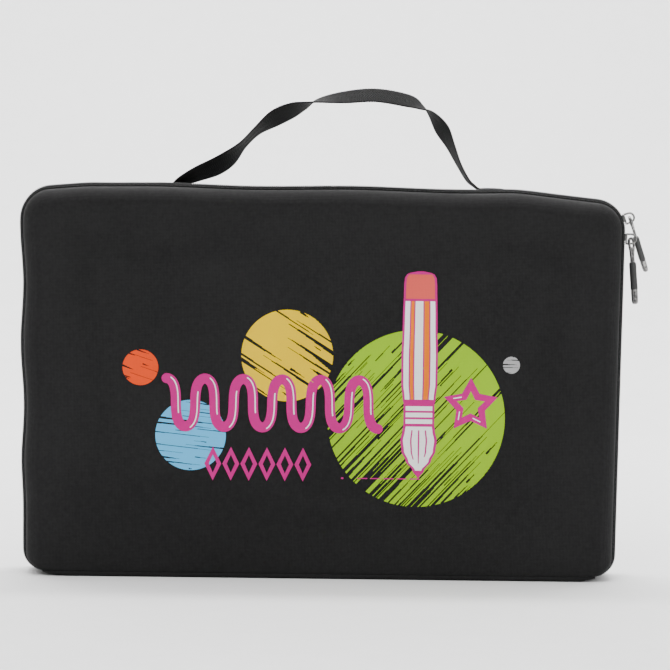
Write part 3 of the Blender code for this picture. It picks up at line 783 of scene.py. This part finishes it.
def crayon_disc(colour, centre_x, centre_z, radius, degrees, forward, count, widest):
    """A disc filled with parallel strokes, with tapered gaps where the crayon skipped."""
    chance = random.Random(colour)
    turn = math.radians(degrees)
    along = Vector((math.cos(turn), math.sin(turn)))
    across = Vector((-math.sin(turn), math.cos(turn)))
    gaps = []
    for index in range(count):
        v = radius * (-0.97 + 1.94 * (index + chance.random()) / count)
        half = math.sqrt(radius * radius - v * v)
        sign = 1.0 if chance.random() < forward else -1.0
        inside = chance.random() < 0.2
        root = sign * half * (chance.uniform(-0.5, 0.7) if inside else 1.02)
        long = (0.4 if inside else chance.uniform(0.45, 2.1)) * max(half, 0.3 * radius)
        wide = widest * (0.25 + 0.75 * chance.random() ** 1.3) * (0.6 if inside else 1.0)
        gaps.append((root, v, -sign * long, wide, chance.uniform(-0.5, 0.5)))
    step = 0.0004 if radius > 0.03 else 0.00025
    rows = int(2.0 * radius / step)

    def spans(v):
        half = math.sqrt(max(radius * radius - v * v, 0.0))
        pieces = [(-half, half)]
        for root, gap_v, long, wide, slant in gaps:
            if abs(v - gap_v) >= wide:
                continue
            near = abs(v - gap_v - slant * wide) / (wide * (1.0 + abs(slant)))
            tip = root + long * (1.0 - near)
            low, high = min(root, tip), max(root, tip)
            kept = []
            for first, last in pieces:
                if high <= first or low >= last:
                    kept.append((first, last))
                    continue
                if low > first:
                    kept.append((first, low))
                if high < last:
                    kept.append((high, last))
            pieces = kept
        return pieces

    bm = bmesh.new()
    for row in range(rows):
        v_low = -radius + 2.0 * radius * row / rows
        v_high = -radius + 2.0 * radius * (row + 1) / rows
        for first, last in spans((v_low + v_high) / 2.0):
            if last - first < 0.0003:
                continue
            count = max(int((last - first) / 0.012), 1)
            rails = []
            for v in (v_low, v_high):
                rail = []
                for part in range(count + 1):
                    u = first + (last - first) * part / count
                    spot = along * u + across * v
                    rail.append(on_face(bm, centre_x + spot.x, centre_z + spot.y, DISC_LIFT))
                rails.append(rail)
            join_rings(bm, rails[0], rails[1], closed=False)
    film(f"print_disc_{colour}", bm, colour)


def stroke_line(bm, path, width, lift, closed=False):
    """A drawn line of even width with round ends."""
    count = len(path)
    rails = ([], [])
    for index, point in enumerate(path):
        before = path[index - 1] if closed or index else point
        after = path[(index + 1) % count] if closed or index < count - 1 else point
        arriving = ((point if point != before else after) - before).normalized()
        leaving = (after - point).normalized() if after != point else arriving
        normal = Vector((-(arriving + leaving).y, (arriving + leaving).x)).normalized()
        mitre = width / 2.0 / max(normal.dot(Vector((-leaving.y, leaving.x))), 0.5)
        for rail, side in zip(rails, (-1.0, 1.0)):
            spot = point + normal * (mitre * side)
            rail.append(on_face(bm, spot.x, spot.y, lift))
    join_rings(bm, rails[0], rails[1], closed=closed)
    if closed:
        return
    for end, inside in ((path[0], path[1]), (path[-1], path[-2])):
        out = (end - inside).normalized()
        side = Vector((-out.y, out.x))
        fan = []
        for part in range(9):
            angle = math.pi * part / 8.0
            spot = end + (side * math.cos(angle) + out * math.sin(angle)) * (width / 2.0)
            fan.append(on_face(bm, spot.x, spot.y, lift))
        bm.faces.new(fan)


def make_wave():
    """The bold line that runs across the print, with its highlights."""
    start, end, middle, swing, waves = -0.1180, 0.0440, 0.1352, 0.0185, 5.5
    path = []
    steps = 240
    for step in range(steps + 1):
        share = step / steps
        angle = 2.0 * math.pi * waves * share
        x = start + (end - start) * share + 0.0022 * math.sin(2.0 * angle)
        path.append(Vector((x, middle + swing * math.cos(angle))))
    bm = bmesh.new()
    stroke_line(bm, path, 0.0077, LINE_LIFT)
    film("print_wave", bm, "magenta")
    bm = bmesh.new()
    per_wave = steps / waves
    for half in range(int(waves * 2)):
        first = int(per_wave * (half / 2.0 + 0.06))
        last = int(per_wave * (half / 2.0 + 0.36))
        shifted = []
        for index in range(first, last):
            along = (path[index + 1] - path[index - 1]).normalized()
            shifted.append(path[index] + Vector((along.y, -along.x)) * (0.0017 if half % 2 else -0.0017))
        stroke_line(bm, shifted, 0.0009, TOP_LIFT)
    film("print_wave_light", bm, "white")


def make_star():
    bm = bmesh.new()
    light = bmesh.new()
    centre = Vector((0.1148, 0.1352))
    corners = []
    for index in range(10):
        reach = 0.0165 if index % 2 == 0 else 0.0086
        angle = math.pi / 2.0 + math.pi * index / 5.0
        corners.append(centre + Vector((math.cos(angle), math.sin(angle))) * reach)
    stroke_line(bm, corners, 0.0052, LINE_LIFT, closed=True)
    film("print_star", bm, "magenta")
    for index in (1, 3, 5):
        first, last = corners[index], corners[index + 1]
        stroke_line(light, [first.lerp(last, 0.2), first.lerp(last, 0.75)], 0.0008, TOP_LIFT)
    film("print_star_light", light, "white")


def make_diamonds():
    """A row of diamonds in place of the small words, and the dashed line beside it."""
    bm = bmesh.new()
    for index in range(6):
        x = -0.0820 + 0.0138 * index
        corners = ((x, 0.0785), (x + 0.0048, 0.0885), (x, 0.0985), (x - 0.0048, 0.0885))
        stroke_line(bm, [Vector(corner) for corner in corners], 0.0030, LINE_LIFT, closed=True)
    film("print_diamonds", bm, "magenta")
    bm = bmesh.new()
    dashes = [(0.0170, 0.0006, 0.0014)] + [(0.0290 + 0.0100 * index, 0.0072, 0.0008) for index in range(5)]
    for x, length, width in dashes:
        stroke_line(bm, [Vector((x, 0.0785)), Vector((x + length, 0.0785))], width, LINE_LIFT)
    film("print_dashes", bm, "magenta")


# The brush's outline: height and half width
BRUSH_X = 0.0753
BRUSH = (
    (0.0789, 0.0004), (0.0850, 0.0044), (0.0925, 0.0098), (0.1000, 0.0130), (0.1080, 0.0139),
    (0.1160, 0.0124), (0.1200, 0.0118), (0.1360, 0.0118), (0.1400, 0.0126), (0.1520, 0.0138),
    (0.1700, 0.0139), (0.2000, 0.0132), (0.2260, 0.0126), (0.2320, 0.0122), (0.2352, 0.0106),
    (0.2370, 0.0072), (0.2376, 0.0020),
)
BRUSH_LINE = 0.0016  # width of the drawn line round the brush
HANDLE_LOW, HANDLE_HIGH = 0.1395, 0.2148
WHOLE = ((0.0, 1.0),)


def brush_half(z):
    for (low, first), (high, last) in zip(BRUSH, BRUSH[1:]):
        if z <= high:
            return first + (last - first) * smooth(z, low, high)
    return BRUSH[-1][1]


def brush_part(bm, low, high, shares=WHOLE, margin=BRUSH_LINE, lift=TOP_LIFT):
    """Upright stripes between two heights; shares are parts of the brush's own width."""
    parts = max(int((high - low) / 0.0012), 1)
    for first, last in shares:
        rails = ([], [])
        for part in range(parts + 1):
            z = low + (high - low) * part / parts
            half = max(brush_half(z) - margin, 0.0002)
            for rail, share in zip(rails, (first, last)):
                rail.append(on_face(bm, BRUSH_X + half * (2.0 * share - 1.0), z, lift))
        join_rings(bm, rails[0], rails[1], closed=False)


def make_brush():
    """A plain striped paint brush with a coral end, standing on its bristles."""
    bm = bmesh.new()
    brush_part(bm, BRUSH[0][0], BRUSH[-1][0], margin=0.0, lift=LINE_LIFT)
    film("print_brush_outline", bm, "magenta")
    bm = bmesh.new()
    brush_part(bm, 0.2165, 0.2352)
    film("print_brush_end", bm, "coral")
    bm = bmesh.new()
    brush_part(bm, HANDLE_LOW, HANDLE_HIGH, ((0.0, 0.16), (0.34, 0.60), (0.84, 1.0)))
    for z in (0.1210, 0.1260, 0.1310):
        brush_part(bm, z, z + 0.0034)
    brush_part(bm, 0.0850, 0.1188, margin=0.0020)
    film("print_brush_white", bm, "white")
    bm = bmesh.new()
    brush_part(bm, HANDLE_LOW, HANDLE_HIGH, ((0.20, 0.30), (0.64, 0.80)))
    film("print_brush_amber", bm, "amber")
    bm = bmesh.new()
    for share, low in ((0.25, 0.0935), (0.50, 0.0905), (0.75, 0.0955)):
        stripe = ((share - 0.025, share + 0.025),)
        brush_part(bm, low, 0.1160, stripe, 0.0020, BRISTLE_LIFT)
    film("print_brush_bristles", bm, "magenta")


def make_print():
    for disc in DISCS:
        crayon_disc(*disc)
    make_wave()
    make_star()
    make_diamonds()
    make_brush()


# ---- handle

# The strap's middle line in x and z, with its roll in degrees: a positive roll lifts the front edge.
STRAP = (
    (-0.1125, 0.3046, 12.0), (-0.1070, 0.3064, 24.0), (-0.0965, 0.3110, 35.0),
    (-0.0840, 0.3162, 42.0), (-0.0735, 0.3230, 36.0), (-0.0630, 0.3335, 15.0),
    (-0.0520, 0.3445, 17.0), (-0.0380, 0.3545, 38.0), (-0.0255, 0.3605, 34.0),
    (-0.0150, 0.3645, 14.0), (-0.0040, 0.3685, -12.0), (0.0160, 0.3712, -31.0),
    (0.0400, 0.3730, -35.0), (0.0650, 0.3690, -33.0), (0.0750, 0.3645, -16.0),
    (0.0830, 0.3590, 10.0), (0.0915, 0.3475, 30.0), (0.0985, 0.3345, 17.0),
    (0.1050, 0.3205, 7.0), (0.1120, 0.3085, 4.0), (0.1165, 0.3042, 2.0),
)


def strap_route():
    """Even steps along the strap: x, z and roll for each."""
    lift = STRAP_TOP - WEB_THICK / 2.0

    def sewn(*places):
        return [Vector((x, top_height(x, WALL_INSET) + lift, 0.0)) for x in places]

    keys = sewn(LEFT_ROOT - TAIL, LEFT_ROOT - TAIL / 2.0, LEFT_ROOT - 0.005)
    keys += [Vector(key) for key in STRAP]
    keys += sewn(RIGHT_ROOT, RIGHT_ROOT + TAIL / 2.0, RIGHT_ROOT + TAIL)
    padded = [keys[0] * 2.0 - keys[1], *keys, keys[-1] * 2.0 - keys[-2]]
    dense = []
    for index in range(1, len(padded) - 2):
        p0, p1, p2, p3 = padded[index - 1 : index + 3]
        for part in range(60):
            t = part / 60.0
            square = (p0 * 2.0 - p1 * 5.0 + p2 * 4.0 - p3) * t * t
            cube = (p1 * 3.0 - p0 - p2 * 3.0 + p3) * t * t * t
            dense.append(0.5 * (p1 * 2.0 + (p2 - p0) * t + square + cube))
    dense.append(keys[-1])
    route = []
    left = 0.0
    for a, b in zip(dense, dense[1:]):
        step = math.hypot(b.x - a.x, b.y - a.y)
        while left < step:
            route.append(a.lerp(b, left / step))
            left += STRAP_STEP
        left -= step
    return route


def strap_piece(name, route, first, last):
    """Webbing with its crosswise picks raised; its UV map holds distances along and across it."""
    bm = bmesh.new()
    uv_layer = bm.loops.layers.uv.new(STRAP_MAP)
    half = WEB_WIDE / 2.0 - PICK_HEIGHT
    rim = [0.93, 0.985, 1.0]
    across = [-a for a in reversed(rim)] + [step / 12.0 for step in range(-10, 11)] + rim
    rings = []
    where = {}
    for index in range(first, last + 1):
        point = route[index]
        before = route[max(index - 3, 0)]
        after = route[min(index + 3, len(route) - 1)]
        along = Vector((after.x - before.x, after.y - before.y)).normalized()
        normal = Vector((-along.y, 0.0, along.x))
        roll = math.radians(point.z)
        wide = Vector((0.0, math.cos(roll), 0.0)) - normal * math.sin(roll)
        up = normal * math.cos(roll) + Vector((0.0, math.sin(roll), 0.0))
        centre = Vector((point.x, WEB_Y, point.y))
        distance = index * STRAP_STEP
        edge = half + PICK_HEIGHT * math.cos(2.0 * math.pi * distance / PICK)
        ring = []
        for side in (1.0, -1.0):
            for a in across if side > 0.0 else reversed(across[1:-1]):
                slant = distance + 0.9 * abs((abs(a) * half) % (2.0 * CHEVRON) - CHEVRON)
                relief = 0.5 * PICK_HEIGHT * math.cos(2.0 * math.pi * slant / PICK) * (1.0 - a**8)
                body = (WEB_THICK / 2.0 - 0.5 * PICK_HEIGHT) * math.sqrt(max(0.0, 1.0 - abs(a) ** 14))
                vertex = bm.verts.new(centre + wide * (edge * a) + up * (side * (body + relief)))
                where[vertex] = (distance, half * a + 0.05)
                ring.append(vertex)
        rings.append(ring)
    sweep(bm, rings)
    for face in bm.faces:
        for corner in face.loops:
            corner[uv_layer].uv = where[corner.vert]
    return new_object(name, bm, 60.0)


def make_handle():
    route = strap_route()
    left_cut = next(i for i, p in enumerate(route) if p.x > LEFT_SPLIT + 0.012)
    right_cut = next(i for i, p in enumerate(route) if p.x > RIGHT_SPLIT - 0.008)

    def end_piece(side, first, last):
        end = strap_piece(f"strap_{side}_end", route, first, last)
        give(end, None, "webbing", WEBBING, f"handle_end_{side}")
        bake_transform(end)

    end_piece("left", 0, left_cut)
    arch = strap_piece("strap_arch", route, left_cut, right_cut)
    give(arch, "handle", "webbing", WEBBING, "handle_strap")
    end_piece("right", right_cut, len(route) - 1)
    make_box_stitch("left", LEFT_ROOT, -1.0)
    make_box_stitch("right", RIGHT_ROOT, 1.0)


def make_box_stitch(side, root, sign):
    """A crossed square of stitches that holds a strap end down."""
    bm = bmesh.new()
    corners = []
    near, far, half = 0.002, TAIL - 0.0025, 0.0078
    for reach, y in ((near, -half), (far, -half), (far, half), (near, half)):
        x = root + sign * reach
        corners.append(Vector((x, WEB_Y + y, top_height(x, WALL_INSET) + STRAP_TOP)))
    for first, last in ((0, 1), (1, 2), (2, 3), (3, 0), (0, 2), (1, 3)):
        stitch_row(bm, corners[first], corners[last], Vector((0.0, 0.0, 1.0)))
    give(new_object(f"box_stitch_{side}", bm, 0.0), "back_shell", "binding", THREAD)


# ---- sliders and pulls


LOWER_POSE = (3.0, -12.0, 45.0)  # lean, tilt and twist in degrees
UPPER_POSE = (22.0, 30.0, 0.0)


def rounded_plate(loops, thickness, bevel):
    """A flat piece in XZ with rounded rims; the first loop is its outline, the others are holes."""
    curve = bpy.data.curves.new("plate", "CURVE")
    curve.dimensions = "2D"
    curve.fill_mode = "BOTH"
    curve.extrude = thickness / 2.0 - bevel
    curve.bevel_depth = bevel
    curve.bevel_resolution = 3
    curve.offset = -bevel
    for loop in loops:
        spline = curve.splines.new("POLY")
        spline.points.add(len(loop) - 1)
        for point, place in zip(spline.points, loop):
            point.co = (place[0], place[1], 0.0, 1.0)
        spline.use_cyclic_u = True
    holder = bpy.data.objects.new("plate", curve)
    bpy.context.scene.collection.objects.link(holder)
    mesh = evaluated_mesh(holder)
    bpy.data.objects.remove(holder, do_unlink=True)
    mesh.transform(Matrix.Rotation(math.pi / 2.0, 4, "X"))
    bm = bmesh.new()
    bm.from_mesh(mesh)
    bmesh.ops.remove_doubles(bm, verts=bm.verts, dist=0.000002)
    bpy.data.meshes.remove(mesh)
    return bm


def arc_points(radius, centre_z, first, last, steps):
    """Points of an arc in XZ between two angles in degrees."""
    points = []
    for step in range(steps + 1):
        angle = math.radians(first + (last - first) * step / steps)
        points.append((radius * math.cos(angle), centre_z + radius * math.sin(angle)))
    return points


def rounded_loop(corners, radius, steps=5):
    """A closed outline with its corners cut by smooth curves."""
    loop = []
    count = len(corners)
    for index, corner in enumerate(corners):
        here = Vector(corner)
        before, after = Vector(corners[index - 1]), Vector(corners[(index + 1) % count])
        start = here + (before - here).normalized() * radius
        end = here + (after - here).normalized() * radius
        for step in range(steps + 1):
            t = step / steps
            loop.append(start * (1.0 - t) ** 2 + here * (2.0 * t * (1.0 - t)) + end * t * t)
    return loop


def bar(profile, half_x, half_y, power):
    """A bar along -Z: profile holds (distance, size) pairs, its section is a soft rectangle."""
    bm = bmesh.new()
    sides = 40
    rings = []
    for distance, size in profile:
        ring = []
        for side in range(sides):
            angle = 2.0 * math.pi * side / sides
            c, t = math.cos(angle), math.sin(angle)
            x = math.copysign(abs(c) ** power, c) * half_x * size
            y = math.copysign(abs(t) ** power, t) * half_y * size
            ring.append(bm.verts.new((x, y, -distance)))
        rings.append(ring)
    sweep(bm, rings)
    return bm


def pull_place(centre, pose):
    lean, tilt, twist = (math.radians(angle) for angle in pose)
    hang = Matrix.Translation(centre) @ Matrix.Rotation(-lean, 4, "Y")
    down = Matrix.Translation((0.0, 0.0, -ARCH_RADIUS))
    up = Matrix.Translation((0.0, 0.0, ARCH_RADIUS))
    turn = Matrix.Rotation(math.pi / 2.0 - twist, 4, "Z")
    return hang @ down @ Matrix.Rotation(tilt, 4, "X") @ up @ turn


def mirrored(points):
    """An outline symmetric about X = 0: the points given are its right side, top to bottom."""
    return [(-x, z) for x, z in points] + [(x, z) for x, z in reversed(points)]


EYE_SIDE = ((0.0037, -0.0040), (0.0031, -0.0072), (0.0023, -0.0105), (0.0020, -0.0140), (0.0021, -0.0182))
TIP = (
    (0.0399, 0.60), (0.0399, 0.92), (0.0401, 0.99), (0.0404, 1.0), (0.0440, 1.0),
    (0.0480, 0.96), (0.0495, 0.90), (0.0504, 0.76), (0.0509, 0.52), (0.0510, 0.25),
)
GRIP_TOP, GRIP_LONG, RIB_STEPS = 0.0192, 0.0200, 20


def grip_profile():
    profile = [(0.0184, 0.55), (0.0184, 0.80), (0.0187, 0.93), (GRIP_TOP, 1.0)]
    for rib in range(1, RIB_STEPS):
        groove = 0.035 if rib % 2 and 3 < rib < 17 else 0.0
        profile.append((GRIP_TOP + GRIP_LONG * rib / RIB_STEPS, 1.0 - groove))
    return profile + [(0.0392, 1.0), (0.0396, 0.93), (0.0398, 0.80), (0.0398, 0.55)]


def make_pull(prefix, centre, pose):
    outline = arc_points(0.0037, -0.0023, 0.0, 180.0, 20) + mirrored(EYE_SIDE)
    hole = arc_points(0.0021, -0.0027, 0.0, 180.0, 16) + arc_points(0.0021, -0.0046, 180.0, 360.0, 16)
    parts = (
        ("eye", rounded_plate([outline, hole], 0.0019, 0.00055), "nickel", NICKEL),
        ("grip", bar(grip_profile(), 0.0028, 0.0024, 0.75), "pull_rubber", RUBBER),
        ("tip", bar(TIP, 0.0027, 0.0023, 0.85), "nickel", NICKEL),
    )
    for part, bm, slot, material in parts:
        bm.transform(pull_place(centre, pose))
        piece = new_object(f"{prefix}_{part}", bm, 40.0)
        give(piece, f"{prefix}_pull", slot, material, f"{prefix}_pull_{part}")


def slider_piece(name, place):
    """Two rounded plates joined by a post; the outer one's sides turn in towards the tape."""
    side = ((0.0018, 0.0044), (0.0031, 0.0032), (0.0032, 0.0006), (0.0020, -0.0043))
    whole = bmesh.new()
    for middle, thickness, size in ((0.0014, 0.0010, 1.0), (-0.0030, 0.0008, 0.86)):
        loop = rounded_loop([(y * size, z) for y, z in mirrored(side)], 0.0008)
        bm = rounded_plate([loop], thickness, 0.00022)
        bm.transform(Matrix.Translation((middle, 0.0, 0.0)) @ Matrix.Rotation(math.pi / 2.0, 4, "Z"))
        mesh = bpy.data.meshes.new(name)
        bm.to_mesh(mesh)
        bm.free()
        whole.from_mesh(mesh)
        bpy.data.meshes.remove(mesh)
    blocks = [((-0.0029, -0.00035, 0.0012), (0.0012, 0.00035, 0.0038))]
    for sign in (-1.0, 1.0):
        low, high = sorted((sign * 0.00285, sign * 0.00325))
        blocks.append(((-0.0001, low, -0.0016), (0.0012, high, 0.0030)))
    for low, high in blocks:
        centre = [(a + b) / 2.0 for a, b in zip(low, high)]
        size = [b - a for a, b in zip(low, high)]
        matrix = Matrix.Translation(centre) @ Matrix.Diagonal((*size, 1.0))
        bmesh.ops.create_cube(whole, size=1.0, matrix=matrix)
    whole.transform(place)
    return new_object(name, whole, 40.0)


def slider_frames():
    point, along = edge_lines(0.0, 0.0)[TOP_RIGHT]
    lean = math.atan2(along.x, -along.y)
    at = point + along * ((LOWER_Z - point.y) / along.y)
    lower = Matrix.Translation((at.x, ZIP_Y, at.y)) @ Matrix.Rotation(lean, 4, "Y")
    lines = edge_lines(CORNER_RADIUS, 0.0)
    middle = crossing(lines[TOP_RIGHT - 1], lines[TOP_RIGHT])
    out = Vector((math.cos(UPPER_ANGLE), math.sin(UPPER_ANGLE)))
    at = middle + out * CORNER_RADIUS
    upper = Matrix.Translation((at.x, ZIP_Y, at.y)) @ Matrix.Rotation(-UPPER_ANGLE, 4, "Y")
    return {"lower": lower, "upper": upper}


def crown_piece(name, place):
    """The wire crown, its feet spread where they are staked to the plate."""
    foot, neck = PLATE_TOP - 0.0002, 0.0034
    route = [Vector((foot, 0.0, -ARCH_RADIUS - 0.0002)), Vector((neck, 0.0, -ARCH_RADIUS))]
    for x, z in arc_points(ARCH_RADIUS, 0.0, -90.0, 90.0, 24):
        route.append(Vector((CROWN_OUT + x, 0.0, z)))
    route += [Vector((neck, 0.0, ARCH_RADIUS)), Vector((foot, 0.0, ARCH_RADIUS + 0.0002))]
    bm = bmesh.new()
    tube(bm, route, 0.00078, 14)
    for sign in (-1.0, 1.0):
        at = Matrix.Translation((PLATE_TOP - 0.0001, 0.0, sign * ARCH_RADIUS))
        stake = at @ Matrix.Diagonal((0.7, 1.3, 0.8, 1.0))
        bmesh.ops.create_uvsphere(bm, u_segments=14, v_segments=8, radius=0.0009, matrix=stake)
    bm.transform(place)
    return new_object(name, bm, 40.0)


def make_sliders():
    places = slider_frames()
    for prefix in ("upper", "lower"):
        slider = f"{prefix}_slider"
        body = slider_piece(f"{prefix}_slider_casting", places[prefix])
        give(body, slider, "nickel", NICKEL, f"{prefix}_slider_body")
        crown = crown_piece(f"{prefix}_crown", places[prefix])
        give(crown, slider, "nickel", NICKEL, f"{prefix}_slider_crown")
        centre = places[prefix] @ Vector((CROWN_OUT, 0.0, 0.0))
        make_pull(prefix, centre, UPPER_POSE if prefix == "upper" else LOWER_POSE)


# ---- inside


def finish_inside():
    """Gives the carried-over pieces their materials."""
    looks = (
        (BOARD, "spine_board"),
        (FOAM, "front_foam_pad", "back_foam_pad"),
        (LINING, "spine_lining", "front_lining", "back_lining", "inner_pocket"),
        (BINDING, "front_seam_binding", "back_seam_binding", "pocket_binding"),
        (CLOTH, "zip_end_tab_left", "zip_end_tab_right", "handle_patch_left", "handle_patch_right"),
    )
    for look, *names in looks:
        for name in names:
            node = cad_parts[name]
            if not node.material_slots:
                node.data.materials.append(look)
            for holder in node.material_slots:
                holder.material = look


# ---- stage and camera


def area_light(name, place, aim, size, power):
    data = bpy.data.lights.new(name, "AREA")
    data.shape = "RECTANGLE"
    data.size, data.size_y = size
    data.energy = power
    made = bpy.data.objects.new(name, data)
    made.location = place
    made.rotation_euler = (Vector(aim) - Vector(place)).to_track_quat("-Z", "Y").to_euler()
    bpy.context.scene.collection.objects.link(made)


def make_stage():
    bm = bmesh.new()
    half, back, bend, tall = 7.0, 1.8, 0.9, 3.2
    profile = [(-half, 0.0), (-1.0, 0.0), (back - bend, 0.0)]
    for step in range(1, 17):
        angle = math.pi / 2.0 * step / 16.0
        profile.append((back - bend + bend * math.sin(angle), bend - bend * math.cos(angle)))
    profile += [(back, 2.0), (back, tall)]
    sides = [[bm.verts.new((x, y, z)) for y, z in profile] for x in (-half, half)]
    join_rings(bm, sides[0], sides[1], closed=False)
    floor = new_object("floor", bm, 0.0)
    floor.data.materials.append(floor_material("floor"))
    world = bpy.data.worlds.new("studio")
    bpy.context.scene.world = world
    world.use_nodes = True
    tree = world.node_tree
    split = tree.nodes.new("ShaderNodeSeparateXYZ")
    tree.links.new(tree.nodes.new("ShaderNodeTexCoord").outputs["Generated"], split.inputs[0])
    shade = tree.nodes.new("ShaderNodeMapRange")
    tree.links.new(split.outputs["Y"], shade.inputs["Value"])
    for name, number in (("From Min", -0.9), ("From Max", 0.1), ("To Min", 0.30), ("To Max", 1.0)):
        shade.inputs[name].default_value = number
    tree.links.new(shade.outputs[0], tree.nodes["Background"].inputs["Color"])
    tree.nodes["Background"].inputs["Strength"].default_value = 1.7
    area_light("key", (-0.5, -1.3, 1.7), (0.0, 0.0, 0.2), (1.2, 1.2), 16.0)
    area_light("fill", (1.3, -1.0, 1.0), (0.0, 0.0, 0.2), (1.0, 1.0), 6.0)
    area_light("top", (0.0, 0.25, 1.6), (0.0, 0.0, 0.25), (1.4, 0.8), 12.0)
    area_light("backdrop", (0.0, 0.7, 2.6), (0.0, 2.4, 1.2), (2.6, 0.8), 150.0)


def make_camera():
    """Square to the front and slightly above, far back with a long lens, rolled a little."""
    aim = Vector((0.0104, -0.0150, 0.1876))
    distance = 1.70
    elevation = math.radians(3.0)
    frame_width = 0.5150
    data = bpy.data.cameras.new("camera")
    data.sensor_width = 36.0
    data.lens = 36.0 * distance / frame_width
    made = bpy.data.objects.new("camera", data)
    back = Vector((0.0, -math.cos(elevation), math.sin(elevation)))
    look = Matrix.Rotation(math.pi / 2.0 - elevation, 4, "X")
    roll = Matrix.Rotation(math.radians(0.70), 4, "Z")
    made.matrix_world = Matrix.Translation(aim + back * distance) @ look @ roll
    bpy.context.scene.collection.objects.link(made)
    bpy.context.scene.camera = made


make_camera()
make_stage()
make_shell()
make_zip()
make_bottom()
make_seams()
make_print()
make_handle()
make_sliders()
finish_inside()
